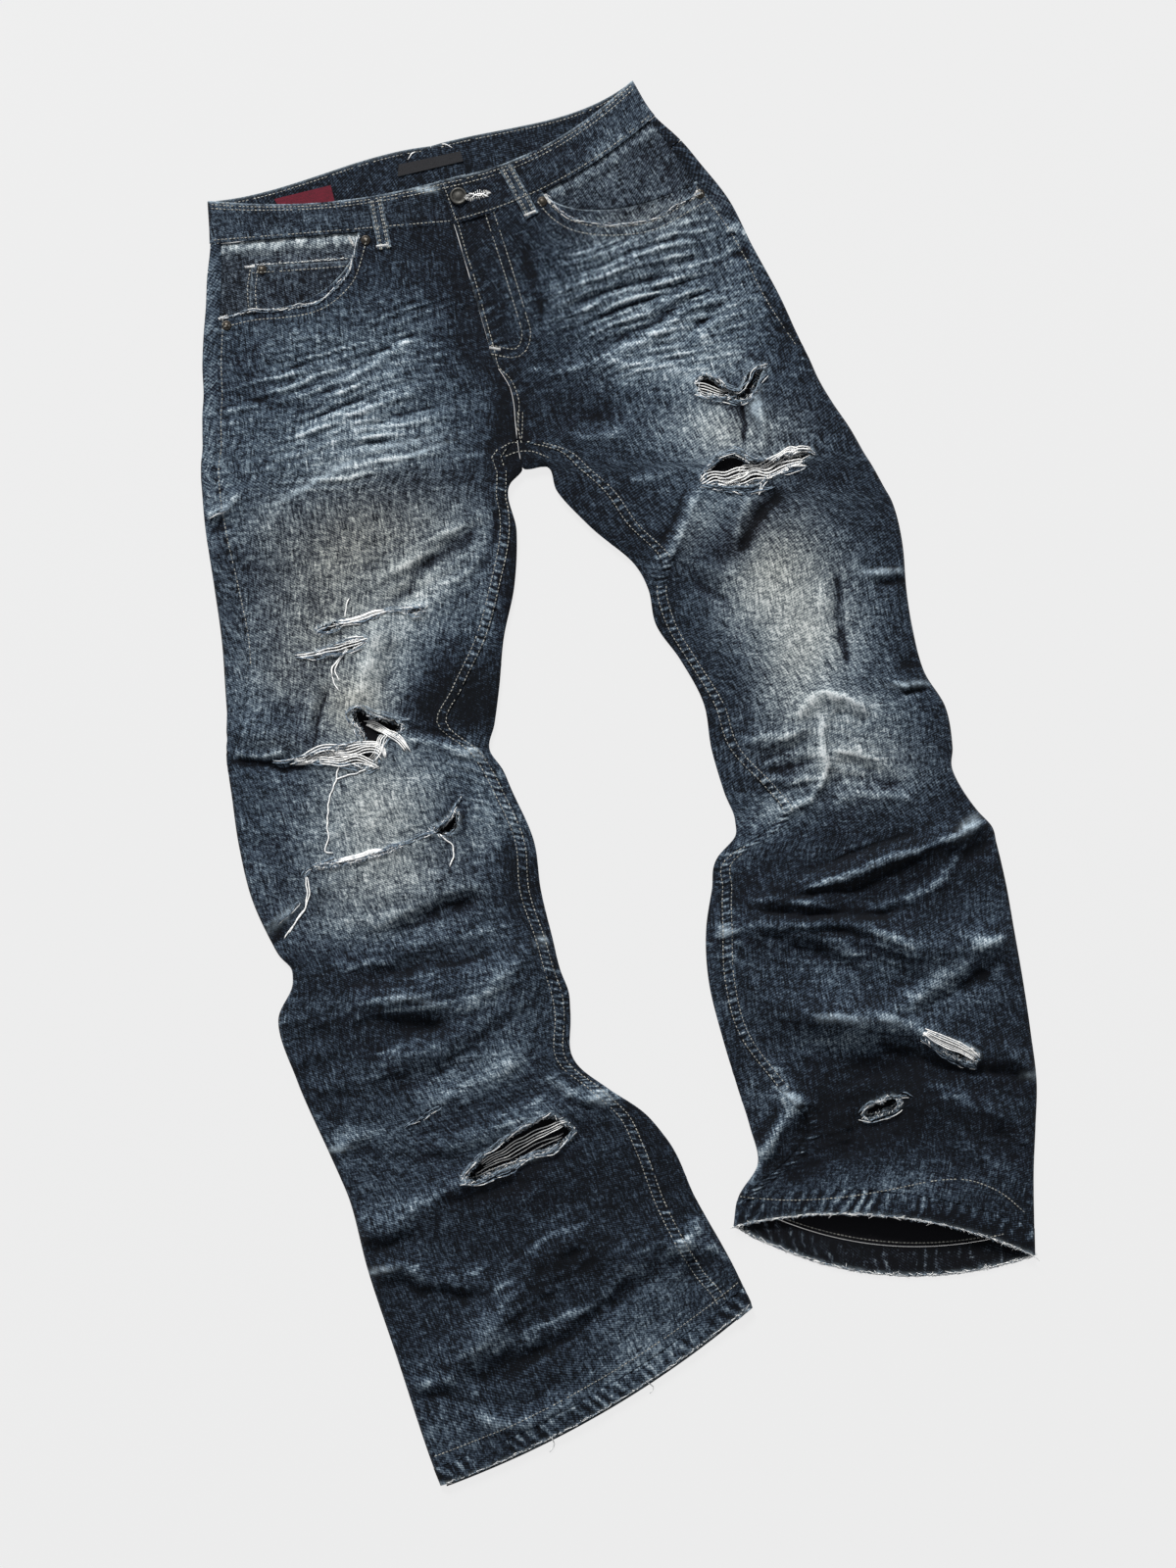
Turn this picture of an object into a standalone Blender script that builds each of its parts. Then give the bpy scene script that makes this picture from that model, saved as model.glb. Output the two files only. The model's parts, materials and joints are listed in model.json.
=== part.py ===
"""Ripped five-pocket jeans laid flat on a surface, front up, waist towards +Y.

Each leg is a table of sections, from the waist seam down to the hem. A section is a flattened loop of
cloth between an outer and an inner point. Its top layer lies over its bottom layer, and the two meet at
rounded side edges. The seams travel round the loop, so a panel can wrap over an edge. Sizes are in
millimetres, and MM turns them into metres when the meshes are made.
"""

from collections import namedtuple
from math import hypot

import bmesh
import bpy
import numpy as np

MM = 0.001

# ---- Driving sizes
WALL = 1.2  # one ply of denim
BAND_WALL = 2.4  # the waistband, two plies
HEM_WALL = 1.8  # the turned-up hems, pressed flat
SEAM = 0.5  # clearance between two pieces at a seam
SIDE_SEAM = 0.9  # the same at the side seams and the yoke seams, which fold over the edge
REST_GAP = 0.3  # clearance between a piece and what it lies on
SHIFT = (0.0, -0.13)  # puts the middle of the laid-out garment over the origin

# ---- Heights of the middle of each ply
HIP_TOP, LEG_TOP = 6.6, 5.0
HIP_BOTTOM, LEG_BOTTOM = 2.1, 0.6
HIP_FROM, HIP_TO = 170.0, 228.0  # the lay changes from leg to hip height between these
TOP_ROUND, BOTTOM_ROUND = 10.0, 3.0  # how far in from a side edge each layer levels out
EDGE_COLUMN = 3.5  # the panel's first points inside a side edge, on the steep part of that round
PLY_STEP = WALL + REST_GAP

# ---- Pocket mouths, from the waist seam along the leg and in from the side edge
MOUTH_POWER = 2.3  # of the superellipse that the mouth's curve follows
MOUTH_STEPS = 6
FACING_UNDER = 10.0  # the facing runs on beneath the front panel
COIN_SIDE = 38.0  # the coin pocket's seam, in from the side edge

# ---- Yoke seam below the waist seam, at the side and at the centre back
YOKE_SIDE, YOKE_CENTRE = 27.0, 62.0

CENTRE_WAIST = (-143.0, 485.0)  # where the centre front line meets the waist seam
CENTRE_UP = (-0.241, 0.970)  # along that line
CENTRE_BACK_LEAN = 0.33  # the centre back seam's sideways run for its height

Section = namedtuple(
    "Section",
    "name outer_x outer_y inner_x inner_y outseam inseam front_bow back_bow back_rise",
    defaults=(0, 0, 0),
)
# outseam and inseam: how far in from the edge each seam lies on top, or beneath where negative.
# front_bow and back_bow: how far the middle of the section bows up the leg. back_rise: the same at its
# inner end, for the back layer only.

RIGHT_LEG = [
    Section("band top", -356, 505, -156, 522, 9, 0, -10, -1, 32),
    Section("waist", -354, 468, -143, 485, 9, 0, 0, -2, 34),
    Section("pocket", -357, 437, -132, 448, 12, 0, 0, 0, 27),
    Section("hip 1", -358, 413, -124.5, 422, 12, 0, 0, 0, 21),
    Section("hip 2", -360, 388, -116, 393, 13, 0, 0, 0, 14),
    Section("hip 3", -361, 362, -109, 368, 13, 0, 0, 0, 8),
    Section("fly end", -360, 335, -94, 342, 13, 0, 0, 0, 3),
    Section("seat", -361, 320, -91, 328, 13, 0, 0, 0, 1),
    Section("rise", -361, 305, -90, 315, 13, 0),
    Section("crotch point", -361, 288, -88, 297, 13, 2),
    Section("fork", -362, 277, -86, 284, 12, 14),
    Section("arch", -362, 265, -84, 271.8, 12, 12),
    Section("crotch", -361, 252, -94, 261, 12, 2),
    Section("thigh 1", -358, 214, -89, 219, 15, 4),
    Section("thigh 2", -351, 170, -91, 171, 18, 11),
    Section("thigh 3", -344, 123, -100, 127, 20, 14),
    Section("thigh 4", -341, 74, -104, 83, 18, 31),
    Section("above knee", -340, 44, -108, 52, 12, 39),
    Section("knee pinch", -340, 19, -112, 28, 4, 7),
    Section("knee side", -338, 6, -101, 12, 0, 7),
    Section("knee", -336, -7, -94, -4, -4, 6),
    Section("below knee", -329, -55, -74, -50, -4, 6),
    Section("calf 1", -318, -100, -68, -92, -4, 8),
    Section("calf 2", -295, -149, -57, -138, -4, 4),
    Section("calf notch", -283, -171, -52, -160, -4, 3),
    Section("calf 3", -295, -205, -43, -197, -5, 3),
    Section("calf 4", -279, -257, -41, -236, -5, 4),
    Section("shin pinch", -251, -320, -8, -266, -5, 3),
    Section("shin top", -242, -340, 22, -286, -5, 11),
    Section("shin 1", -234, -359, 41, -308, -5, 19),
    Section("shin 2", -217, -423, 66, -359, -5, 24, -2, -2),
    Section("ankle", -193, -495, 93, -407, -5, 24, -7, -7),
    Section("hem top", -160, -594, 108, -437, -5, 17, -14, -14),
    Section("hem", -154, -609, 115, -452, -5, 17, -14, -14),
]

LEFT_LEG = [
    Section("band top", 11, 609, -156, 522, 5, 0, -15, -9, 32),
    Section("waist", 30, 578, -143, 485, 5, 0, -12, -6, 34),
    Section("pocket", 65, 543, -132, 448, 12, 0, -8, -5, 27),
    Section("hip 1", 94, 508, -124.5, 422, 12, 0, -4, -2, 21),
    Section("hip 2", 115, 467, -116, 393, 7, 0, -2, 0, 14),
    Section("hip 3", 139, 423, -109, 368, 9, 0, 0, 0, 8),
    Section("fly end", 155, 388, -94, 342, 3, 0, 0, 0, 3),
    Section("seat", 164, 370, -91, 328, 0, 0, 0, 0, 1),
    Section("rise", 172, 352, -90, 315, -3, 0),
    Section("crotch point", 185, 330, -88, 297, -5, 3),
    Section("fork", 200, 308, -86, 284, -5, 34),
    Section("arch", 212, 287, -81.8, 272.5, -5, 44),
    Section("crotch top", 219, 276, -62, 271, -5, 28),
    Section("crotch", 229, 258, -54, 254, -5, 39),
    Section("thigh 1", 237, 243, -27, 225, -5, 31),
    Section("thigh 2", 246, 204, 14, 190, -5, 22),
    Section("thigh notch", 249, 168, 26, 168, -5, 5),
    Section("thigh 3", 254, 136, 32, 139, -5, 7),
    Section("thigh 4", 264, 98, 54, 107, -5, 4),
    Section("knee 1", 283, 66, 74, 69, -5, 7),
    Section("knee 2", 289, 32, 81, 28, -5, 15),
    Section("knee 3", 289, 12, 91, -6, -5, 34),
    Section("knee fold", 311, -24, 101, -33, -5, 37),
    Section("fold lip", 323, -37, 101, -46, -5, 22),
    Section("fold", 327, -51, 86, -64, -5, 7),
    Section("calf 1", 335, -85, 81, -92, -5, 7),
    Section("calf 2", 342, -124, 76, -126, -5, 12),
    Section("calf 3", 350, -170, 78, -170, -5, 12),
    Section("calf 4", 357, -217, 90, -220, -5, 14),
    Section("shin 1", 362, -259, 102, -260, -5, 32),
    Section("shin 2", 361, -298, 114, -298, -5, 51),
    Section("shin 3", 359.5, -335, 121, -328, -5, 26, 8, -9),
    Section("hem top", 360, -386, 103, -362, -5, 5, 21, -27),
    Section("hem", 360.5, -409.5, 100, -384, -5, 5, 23, -29),
]

Mouth = namedtuple("Mouth", "reach drop end")
# reach: along the waist seam from the side. drop: down the side. end: from the side edge at the bottom.
RIGHT_MOUTH = Mouth(reach=128, drop=68, end=13)
LEFT_MOUTH = Mouth(reach=116, drop=58, end=13)

Fold = namedtuple("Fold", "name width height points")
FOLDS = [
    Fold("right thigh ridge", 18, 5, ((-207, 139), (-219, 108), (-229, 65))),
    Fold("right knee pinch", 16, 5, ((-330, 44), (-285, 38), (-262, 30))),
    Fold("right knee trough", 12, -2, ((-340, 28), (-303, 27), (-279, 17))),
    Fold("right below knee", 18, 4, ((-225, -104), (-160, -88), (-110, -82))),
    Fold("right calf ridge", 18, 7, ((-68, -141), (-104, -160), (-151, -176), (-203, -192), (-247, -181))),
    Fold("right calf tail", 16, 6, ((-187, -243), (-137, -225), (-99, -199), (-73, -165))),
    Fold("right shin pinch", 16, 7, ((-152, -311), (-111, -300), (-50, -284), (-13, -273))),
    Fold("right shin", 18, 6, ((-234, -381), (-193, -384), (-135, -355), (-61, -346))),
    Fold("right ankle side", 16, 5, ((-215, -424), (-184, -418), (-158, -431), (-111, -442))),
    Fold("right ankle", 18, 8, ((68, -396), (35, -396), (-52, -408), (-82, -446), (-140, -498))),
    Fold("left hip ridge", 18, 3, ((-58, 425), (0, 447), (68, 470))),
    Fold("left thigh ridge", 18, 5, ((73, 257), (62, 224), (45, 193))),
    Fold("left knee", 18, 4, ((150, 66), (181, 80), (219, 64))),
    Fold("left calf knot", 16, 8, ((300, -41), (228, -71), (178, -90), (120, -98))),
    Fold("left calf ridge", 18, 9, ((98, -125), (155, -118), (223, -128), (264, -144), (335, -137))),
    Fold("left calf loop", 16, 7, ((98, -155), (125, -183), (200, -201), (250, -186))),
    Fold("left shin ridge", 18, 10, ((143, -204), (200, -206), (260, -215), (287, -230), (345, -242))),
    Fold("left shin side", 16, 5, ((250, -272), (300, -282), (344, -292))),
    Fold("left shin inner", 16, 7, ((166, -265), (139, -296), (121, -315), (108, -350))),
]

Mound = namedtuple("Mound", "name x y reach_x reach_y height")
MOUNDS = [
    Mound("right thigh", -225, 150, 90, 120, 3.0),
    Mound("right knee", -190, -10, 80, 60, 4.0),
    Mound("right calf", -150, -200, 80, 90, 3.0),
    Mound("right ankle", -60, -410, 80, 80, 3.0),
    Mound("left thigh", 130, 220, 80, 110, 3.0),
    Mound("left knee", 185, 60, 70, 60, 3.0),
    Mound("left calf", 215, -140, 90, 80, 4.0),
    Mound("left hem mouth", 240, -390, 78, 75, 12.0),
]

Nudge = namedtuple("Nudge", "name x y move_x move_y reach")
NUDGES = [
    Nudge("crotch corner", -62, 274, 0.0, 4.0, 14.0),
    Nudge("left hip", 48, 562, 2.0, 1.5, 25.0),
    Nudge("right calf notch", -289, -160, 4.0, 0.0, 9.0),
    Nudge("right calf inner", -43, -179, 3.0, 0.0, 14.0),
]


def clear_scene():
    for old in list(bpy.data.objects):
        bpy.data.objects.remove(old, do_unlink=True)


def make_material(name, color, roughness, metallic=0.0):
    material = bpy.data.materials.new(name)
    material.use_nodes = True
    surface = material.node_tree.nodes["Principled BSDF"]
    surface.inputs["Base Color"].default_value = (*color, 1.0)
    surface.inputs["Roughness"].default_value = roughness
    surface.inputs["Metallic"].default_value = metallic
    return material


def quarter_round(share):
    """0 at a side edge, 1 once the layer has levelled out, along a quarter ellipse."""
    inside = np.clip(share, 0.0, 1.0)
    return np.sqrt(1.0 - (1.0 - inside) ** 2)


def smooth_step(value, low, high):
    share = np.clip((value - low) / (high - low), 0.0, 1.0)
    return share * share * (3.0 - 2.0 * share)


def distance_to_path(points, path):
    """The distance from each point to a polyline, and how far along it the nearest place is, 0 to 1."""
    best = np.full(len(points), 1e9)
    along = np.zeros(len(points))
    lengths = [hypot(*(b - a)) for a, b in zip(path[:-1], path[1:])]
    total = sum(lengths)
    start = 0.0
    for a, b, length in zip(path[:-1], path[1:], lengths):
        share = np.clip(((points - a) @ (b - a)) / max(length * length, 1e-9), 0.0, 1.0)
        gap = np.linalg.norm(points - (a + share[:, None] * (b - a)), axis=1)
        nearer = gap < best
        best[nearer] = gap[nearer]
        along[nearer] = (start + share[nearer] * length) / total
        start += length
    return best, along


class Leg:
    """One side of the garment, as a smooth function of the place down the leg and round the section."""

    def __init__(self, sections, side, mouth):
        self.side = side  # -1 for the wearer's right, whose outer edge is at -X, and 1 for the left
        self.mouth = mouth
        self.names = [section.name for section in sections]
        self.values = np.array([section[1:] for section in sections], float)
        middles = (self.values[:, 0:2] + self.values[:, 2:4]) / 2
        steps = np.linalg.norm(np.diff(middles, axis=0), axis=1)
        stations = np.concatenate([[0.0], np.cumsum(steps)])
        self.stations = stations - stations[self.names.index("waist")]
        slopes = np.diff(self.values, axis=0) / steps[:, None]
        self.tangents = np.vstack(
            [
                slopes[:1],
                (slopes[1:] * steps[:-1, None] + slopes[:-1] * steps[1:, None])
                / (steps[1:] + steps[:-1])[:, None],
                slopes[-1:],
            ]
        )

    def station(self, name):
        return self.stations[self.names.index(name)]

    def at(self, station):
        """The section's values at a place down the leg, by cubic interpolation between the rows."""
        index = int(np.clip(np.searchsorted(self.stations, station) - 1, 0, len(self.stations) - 2))
        step = self.stations[index + 1] - self.stations[index]
        t = (station - self.stations[index]) / step
        start, end = self.values[index], self.values[index + 1]
        leave, arrive = self.tangents[index] * step, self.tangents[index + 1] * step
        return (
            start * (1 - t) ** 2 * (1 + 2 * t)
            + end * t * t * (3 - 2 * t)
            + leave * t * (1 - t) ** 2
            - arrive * t * t * (1 - t)
        )

    def ends(self, station):
        """The outer and the inner point of a section, clear of the centre line."""
        values = self.at(station)
        outer, inner = values[0:2], values[2:4]
        return outer, inner + (outer - inner) * (SEAM / 2 / hypot(*(inner - outer)))

    def width(self, station):
        outer, inner = self.ends(station)
        return hypot(*(inner - outer))

    def seams(self, station):
        """How far in from its edge the side seam and the inseam lie."""
        return self.at(station)[4:6]

    def place(self, station, around):
        """(x, y, on top) of a place round the loop: 0 is the outer edge, then over the top."""
        outer, inner = self.ends(station)
        width = hypot(*(inner - outer))
        front_bow, back_bow, back_rise = self.at(station)[6:9]
        if around > 2 * width:
            around -= 2 * width
        on_top = 0.0 <= around <= width
        along = 2 * width - around if around > width else abs(around)
        share = along / width
        run = (inner - outer) / width
        up = np.array([run[1], -run[0]]) * self.side
        bow = front_bow if on_top else back_bow
        x, y = outer + run * along + up * bow * 4 * share * (1 - share)
        if not on_top:
            eased = share * share * (3 - 2 * share)
            x += self.back_lean(station, inner, back_rise) * eased
            y += CENTRE_UP[1] * back_rise * eased
        return x, y, on_top

    def back_lean(self, station, inner, rise):
        """How far sideways the back's inner end moves, to lie on the straight centre back seam."""
        if station >= self.station("fly end"):
            return CENTRE_UP[0] * rise
        foot = self.values[self.names.index("fly end")][2:4] + np.array(CENTRE_UP) * 3
        height = inner[1] + CENTRE_UP[1] * rise
        return foot[0] - CENTRE_BACK_LEAN * (height - foot[1]) - inner[0] + self.side * SEAM / 2

    def mouth_reach(self, station):
        """How far from the side edge the pocket mouth is at a place down the leg."""
        share = np.clip(station / self.mouth.drop, 0.0, 1.0)
        curve = (1 - share**MOUTH_POWER) ** (1 / MOUTH_POWER)
        return self.mouth.end + (self.mouth.reach - self.mouth.end) * curve

    def mouth_stations(self):
        turns = np.linspace(0, np.pi / 2, MOUTH_STEPS + 1)
        return [self.mouth.drop * float(np.sin(turn)) ** (2 / MOUTH_POWER) for turn in turns]

    def rows(self, first, last, spacing):
        """Stations from first to last: every row of the table between them, and more where far apart."""
        marks = [first]
        marks += [s for s in self.stations if first + 4 < s < last - 4]
        marks.append(last)
        found = []
        for start, end in zip(marks[:-1], marks[1:]):
            count = max(1, int(np.ceil((end - start) / spacing)))
            found += list(np.linspace(start, end, count, endpoint=False))
        return found + [last]


class Lay:
    """The heights of the two layers of cloth over the plan."""

    def __init__(self, right, left):
        self.edges = []
        for leg in (right, left):
            outer_rows = leg.rows(leg.stations[0], leg.stations[-1], 5)
            inner_rows = leg.rows(leg.station("arch"), leg.stations[-1], 5)
            self.edges.append(np.array([leg.ends(s)[0] for s in outer_rows]))
            self.edges.append(np.array([leg.ends(s)[1] for s in inner_rows]))

    def heights(self, plan, on_top):
        """The height of each place (x, y) on its layer."""
        to_edge = np.min([distance_to_path(plan, edge)[0] for edge in self.edges], axis=0)
        hip = smooth_step(plan[:, 1], HIP_FROM, HIP_TO)
        flat_top = LEG_TOP + (HIP_TOP - LEG_TOP) * hip
        bottom = LEG_BOTTOM + (HIP_BOTTOM - LEG_BOTTOM) * hip
        edge = (flat_top + bottom) / 2
        top = flat_top + relief(plan)
        top_z = edge + (top - edge) * quarter_round(to_edge / TOP_ROUND)
        bottom_z = edge - (edge - bottom) * quarter_round(to_edge / BOTTOM_ROUND)
        return np.where(on_top, top_z, bottom_z)


def relief(plan):
    """What the folds and the fuller stretches add to the top layer."""
    total = np.zeros(len(plan))
    for mound in MOUNDS:
        away = ((plan[:, 0] - mound.x) / mound.reach_x) ** 2
        away += ((plan[:, 1] - mound.y) / mound.reach_y) ** 2
        total += mound.height * np.exp(-away)
    for fold in FOLDS:
        gap, along = distance_to_path(plan, np.array(fold.points, float))
        taper = quarter_round(np.minimum(along, 1 - along) * 4 + 0.15)
        total += fold.height * taper * np.exp(-((gap / fold.width) ** 2))
    return total


def nudged(plan):
    """Small local moves of the plan, at corners that the sections are too far apart to follow."""
    moved = plan.copy()
    for nudge in NUDGES:
        away = np.hypot(plan[:, 0] - nudge.x, plan[:, 1] - nudge.y) / nudge.reach
        moved += np.exp(-(away**2))[:, None] * np.array([nudge.move_x, nudge.move_y])
    return moved


def kept_apart(wanted, start, end, least):
    """Moves the wanted places in between start and end, in order and never closer than least."""
    count = len(wanted)
    least = min(least, (end - start) / (count + 1))
    places = [start]
    for index, place in enumerate(wanted):
        low = places[-1] + least
        high = end - least * (count - index)
        places.append(min(max(place, low), high))
    return places + [end]


def build_mesh(name, points, faces, material):
    mesh = bpy.data.meshes.new(name)
    shifted = [((x + SHIFT[0]) * MM, (y + SHIFT[1]) * MM, z * MM) for x, y, z in points]
    mesh.from_pydata(shifted, [], faces)
    mesh.validate()
    work = bmesh.new()
    work.from_mesh(mesh)
    bmesh.ops.remove_doubles(work, verts=work.verts, dist=1e-7)
    bmesh.ops.recalc_face_normals(work, faces=work.faces)
    work.to_mesh(mesh)
    work.free()
    mesh.materials.append(material)
    piece = bpy.data.objects.new(name, mesh)
    bpy.context.scene.collection.objects.link(piece)
    return piece


def thicken(piece, wall):
    """Gives an open surface its wall, half to each side."""
    solid = piece.modifiers.new("Wall", "SOLIDIFY")
    solid.thickness = wall * MM
    solid.offset = 0.0
    return piece


def cloth(name, grids, lay, wall, material, lift=0.0):
    """A wall of cloth from one or more grids of (station x around) places that share an edge."""
    points, faces = [], []
    for grid in grids:
        first = len(points)
        columns = len(grid[0])
        plan = np.array([place[:2] for row in grid for place in row])
        on_top = np.array([place[2] for row in grid for place in row])
        raised = lay.heights(plan, on_top)
        if callable(lift):
            raised = raised + lift(plan, on_top)
        else:
            raised = raised + lift
        plan = nudged(plan)
        points += [(x, y, z) for (x, y), z in zip(plan, raised)]
        for r in range(len(grid) - 1):
            for c in range(columns - 1):
                a = first + r * columns + c
                faces.append((a, a + 1, a + columns + 1, a + columns))
    return thicken(build_mesh(name, points, faces, material), wall)


def grid_of(leg, rows, around_at):
    return [[leg.place(station, around) for around in around_at(station)] for station in rows]


# ---- The legs' panels

PANEL_SPACING = 42.0  # between the sections of a panel, at most
FRONT_COLUMNS = 6
LEAST_COLUMN = 1.5  # between two points round the loop
LEAST_INSEAM = 1.5  # of the back's strip on top, where the inseam all but reaches the edge
TINY = 0.01


def panel_rows(leg, last):
    """The stations that the front, the back and the facing share, so that their seams match."""
    first = SEAM / 2
    mouth = [first + s for s in leg.mouth_stations()[1:]]
    return [first] + mouth + leg.rows(mouth[-1], last, PANEL_SPACING)[1:]


def front_span(leg, station):
    """Where the front panel starts and ends round the loop."""
    width = leg.width(station)
    outseam, inseam = leg.seams(station)
    start = outseam + SIDE_SEAM / 2
    if station < SEAM / 2 + leg.mouth.drop - TINY:
        start = max(start, leg.mouth_reach(station - SEAM / 2))
    end = width
    if inseam > 0 and station > leg.station("crotch point") - TINY:
        end -= inseam + SEAM / 2
    return start, end


def front_panel(leg, name, lay, material, last):
    def around_at(station):
        start, end = front_span(leg, station)
        inner = np.linspace(max(start, 0.0) + TOP_ROUND, end - TOP_ROUND, FRONT_COLUMNS + 1)
        wanted = [0.0, EDGE_COLUMN, *inner, leg.width(station) - EDGE_COLUMN]
        return kept_apart(wanted, start, end, LEAST_COLUMN)

    rows = panel_rows(leg, last)
    return cloth(name, [grid_of(leg, rows, around_at)], lay, WALL, material)


def yoke_drop(share):
    """How far below the waist seam the yoke seam is, from the side (0) to the centre back (1)."""
    return YOKE_SIDE + (YOKE_CENTRE - YOKE_SIDE) * np.clip(share, 0.0, 1.0)


def back_columns(leg, station):
    """The back's places round the loop: the strip on top inside the inseam, then the layer beneath."""
    width = leg.width(station)
    outseam, inseam = leg.seams(station)
    start = width - max(inseam, LEAST_INSEAM) + SEAM / 2
    strip = kept_apart([width - TOP_ROUND, width - EDGE_COLUMN], start, width, 0.4)
    end = 2 * width + outseam - SIDE_SEAM / 2
    wanted = [width + BOTTOM_ROUND]
    wanted += [width * 1.25, width * 1.5, width * 1.75]
    wanted += [2 * width - BOTTOM_ROUND, 2 * width, 2 * width + EDGE_COLUMN]
    return strip, kept_apart(wanted, width, end, 0.7)


def under(leg, station, around):
    """A place on the bottom layer, also exactly at the inner edge."""
    width = leg.width(station)
    if around <= width:
        x, y = leg.place(station, width + 1e-6)[:2]
        return x, y, False
    return leg.place(station, around)


def around_shift(leg, station_from, station_to, around):
    """The same place round the loop on another section, whose width and side seam differ."""
    width_from, width_to = leg.width(station_from), leg.width(station_to)
    if around <= 2 * width_from:
        return around * width_to / width_from
    over_from = leg.seams(station_from)[0] - SIDE_SEAM / 2
    over_to = leg.seams(station_to)[0] - SIDE_SEAM / 2
    return 2 * width_to + (around - 2 * width_from) * over_to / over_from


def back_panel(leg, name, lay, material, last):
    rows = panel_rows(leg, last)
    level = leg.station("fly end")
    above = [s for s in rows if s < level]
    below = [s for s in rows if s >= level]
    width = leg.width(level)
    beneath = []
    for index in range(len(above)):
        row = []
        for around in back_columns(leg, level)[1]:
            top = yoke_drop((2 * width - around) / width) + SIDE_SEAM / 2
            station = top + (level - top) * index / len(above)
            row.append(under(leg, station, around_shift(leg, level, station, around)))
        beneath.append(row)
    beneath += [[under(leg, s, around) for around in back_columns(leg, s)[1]] for s in below]

    arch = leg.station("arch")
    strip_rows = [s for s in rows if s >= leg.station("crotch point") - TINY]
    strip = []
    for station in strip_rows:
        row = [leg.place(station, around) for around in back_columns(leg, station)[0]]
        if station >= arch - TINY:
            row[-1] = under(leg, station, leg.width(station))
        strip.append(row)
    return cloth(name, [beneath, strip], lay, WALL, material)


def yoke(leg, name, lay, material):
    level = leg.station("fly end")
    width = leg.width(level)
    grid = []
    for t in (0.0, 0.5, 1.0):
        row = []
        for around in back_columns(leg, level)[1]:
            end = yoke_drop((2 * width - around) / width) - SIDE_SEAM / 2
            station = SEAM / 2 + (end - SEAM / 2) * t
            row.append(under(leg, station, around_shift(leg, level, station, around)))
        grid.append(row)
    return cloth(name, [grid], lay, WALL, material)


def pocket_facing(leg, name, lay, material):
    """The ply seen in the pocket mouth, one step down, and running on beneath the front panel."""
    rows = [s for s in panel_rows(leg, leg.station("rise")) if s <= leg.mouth.drop + SEAM]
    rows[0] += REST_GAP

    def around_at(station):
        start = leg.seams(station)[0] + SIDE_SEAM / 2
        end = leg.mouth_reach(station) + FACING_UNDER
        return kept_apart(np.linspace(start, end, 7)[1:-1], start, end, 1.0)

    return cloth(name, [grid_of(leg, rows, around_at)], lay, WALL, material, lift=-PLY_STEP)


def coin_pocket(leg, lay, material):
    """A patch on the facing, one step up, from its side seam to the mouth that hides the rest of it."""
    rows = [SEAM / 2 + s for s in leg.mouth_stations()[1:-1]]

    def around_at(station):
        end = leg.mouth_reach(station - SEAM / 2) - SEAM
        return kept_apart(np.linspace(COIN_SIDE, end, 5)[1:-1], COIN_SIDE, end, 1.0)

    return cloth("coin_pocket", [grid_of(leg, rows, around_at)], lay, WALL, material)


# ---- Hems

def hem_pieces(leg, side, lay, material):
    """The turned-up hem, as a front and a back piece that meet at the two side seams."""
    top, end = leg.station("hem top") + SEAM / 2, leg.station("hem")
    rows = [top, (top + end) / 2, end]

    def front_at(station):
        start, finish = front_span(leg, station)
        inner = np.linspace(TOP_ROUND, leg.width(station) - TOP_ROUND, FRONT_COLUMNS)
        return kept_apart([0.0, *inner], start, finish, LEAST_COLUMN)

    def back_at(station):
        strip, beneath = back_columns(leg, station)
        return strip[:1] + strip[2:] + beneath[1:]

    def lift(plan, on_top):
        return np.where(on_top, 0.0, (HEM_WALL - WALL) / 2)

    cloth(f"hem_front_{side}", [grid_of(leg, rows, front_at)], lay, HEM_WALL, material, lift=lift)
    cloth(f"hem_back_{side}", [grid_of(leg, rows, back_at)], lay, HEM_WALL, material, lift=lift)


# ---- Waistband

BAND_LIFT = 0.5
BUTTON_END_LIFT = 1.4  # the buttoned end laps over the other, which sinks as much
BUTTON_END = 24.0
LAP_RAMP = 14.0  # the length over which each end leaves the band's level
LAP_CLEAR = 8.0  # the lower end is down at its own level this far short of the centre front
LAP_RUN = (0.966, 0.259)  # the direction of the lower end past the centre front
BAND_WRAP = 5.0  # the front strip folds round the side and ends this far beneath
BAND_COLUMNS = 6


def band_front(leg, name, lay, material):
    rows = [leg.stations[0], leg.stations[0] / 2, -SEAM / 2]
    over = leg.side > 0
    level_from = BUTTON_END if over else LAP_CLEAR

    def around_at(station):
        width = leg.width(station)
        bends = [width - level_from - LAP_RAMP, width - level_from]
        wanted = [0.0, EDGE_COLUMN, *np.linspace(TOP_ROUND, bends[0] - 2 * LAP_RAMP, BAND_COLUMNS), *bends]
        return kept_apart(wanted, -BAND_WRAP, width if over else width + BUTTON_END, LEAST_COLUMN)

    def lift(plan, on_top):
        to_end = plan[:, 0] - centre_x(plan[:, 1])
        step = 1 - smooth_step(to_end * leg.side, level_from, level_from + LAP_RAMP)
        return BAND_LIFT + np.where(on_top, step * BUTTON_END_LIFT * leg.side, 0.0)

    grid = [[band_place(leg, station, around) for around in around_at(station)] for station in rows]
    return cloth(name, [grid], lay, BAND_WALL, material, lift=lift)


def band_place(leg, station, around):
    """A place on the band. The right strip runs on past the centre front, beneath the left one."""
    beyond = max(around - leg.width(station), 0.0)
    x, y, on_top = leg.place(station, around - beyond)
    return x + beyond * LAP_RUN[0], y + beyond * LAP_RUN[1], on_top


def centre_x(y):
    """The centre front line across the waistband."""
    return CENTRE_WAIST[0] + (y - CENTRE_WAIST[1]) * CENTRE_UP[0] / CENTRE_UP[1]


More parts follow.
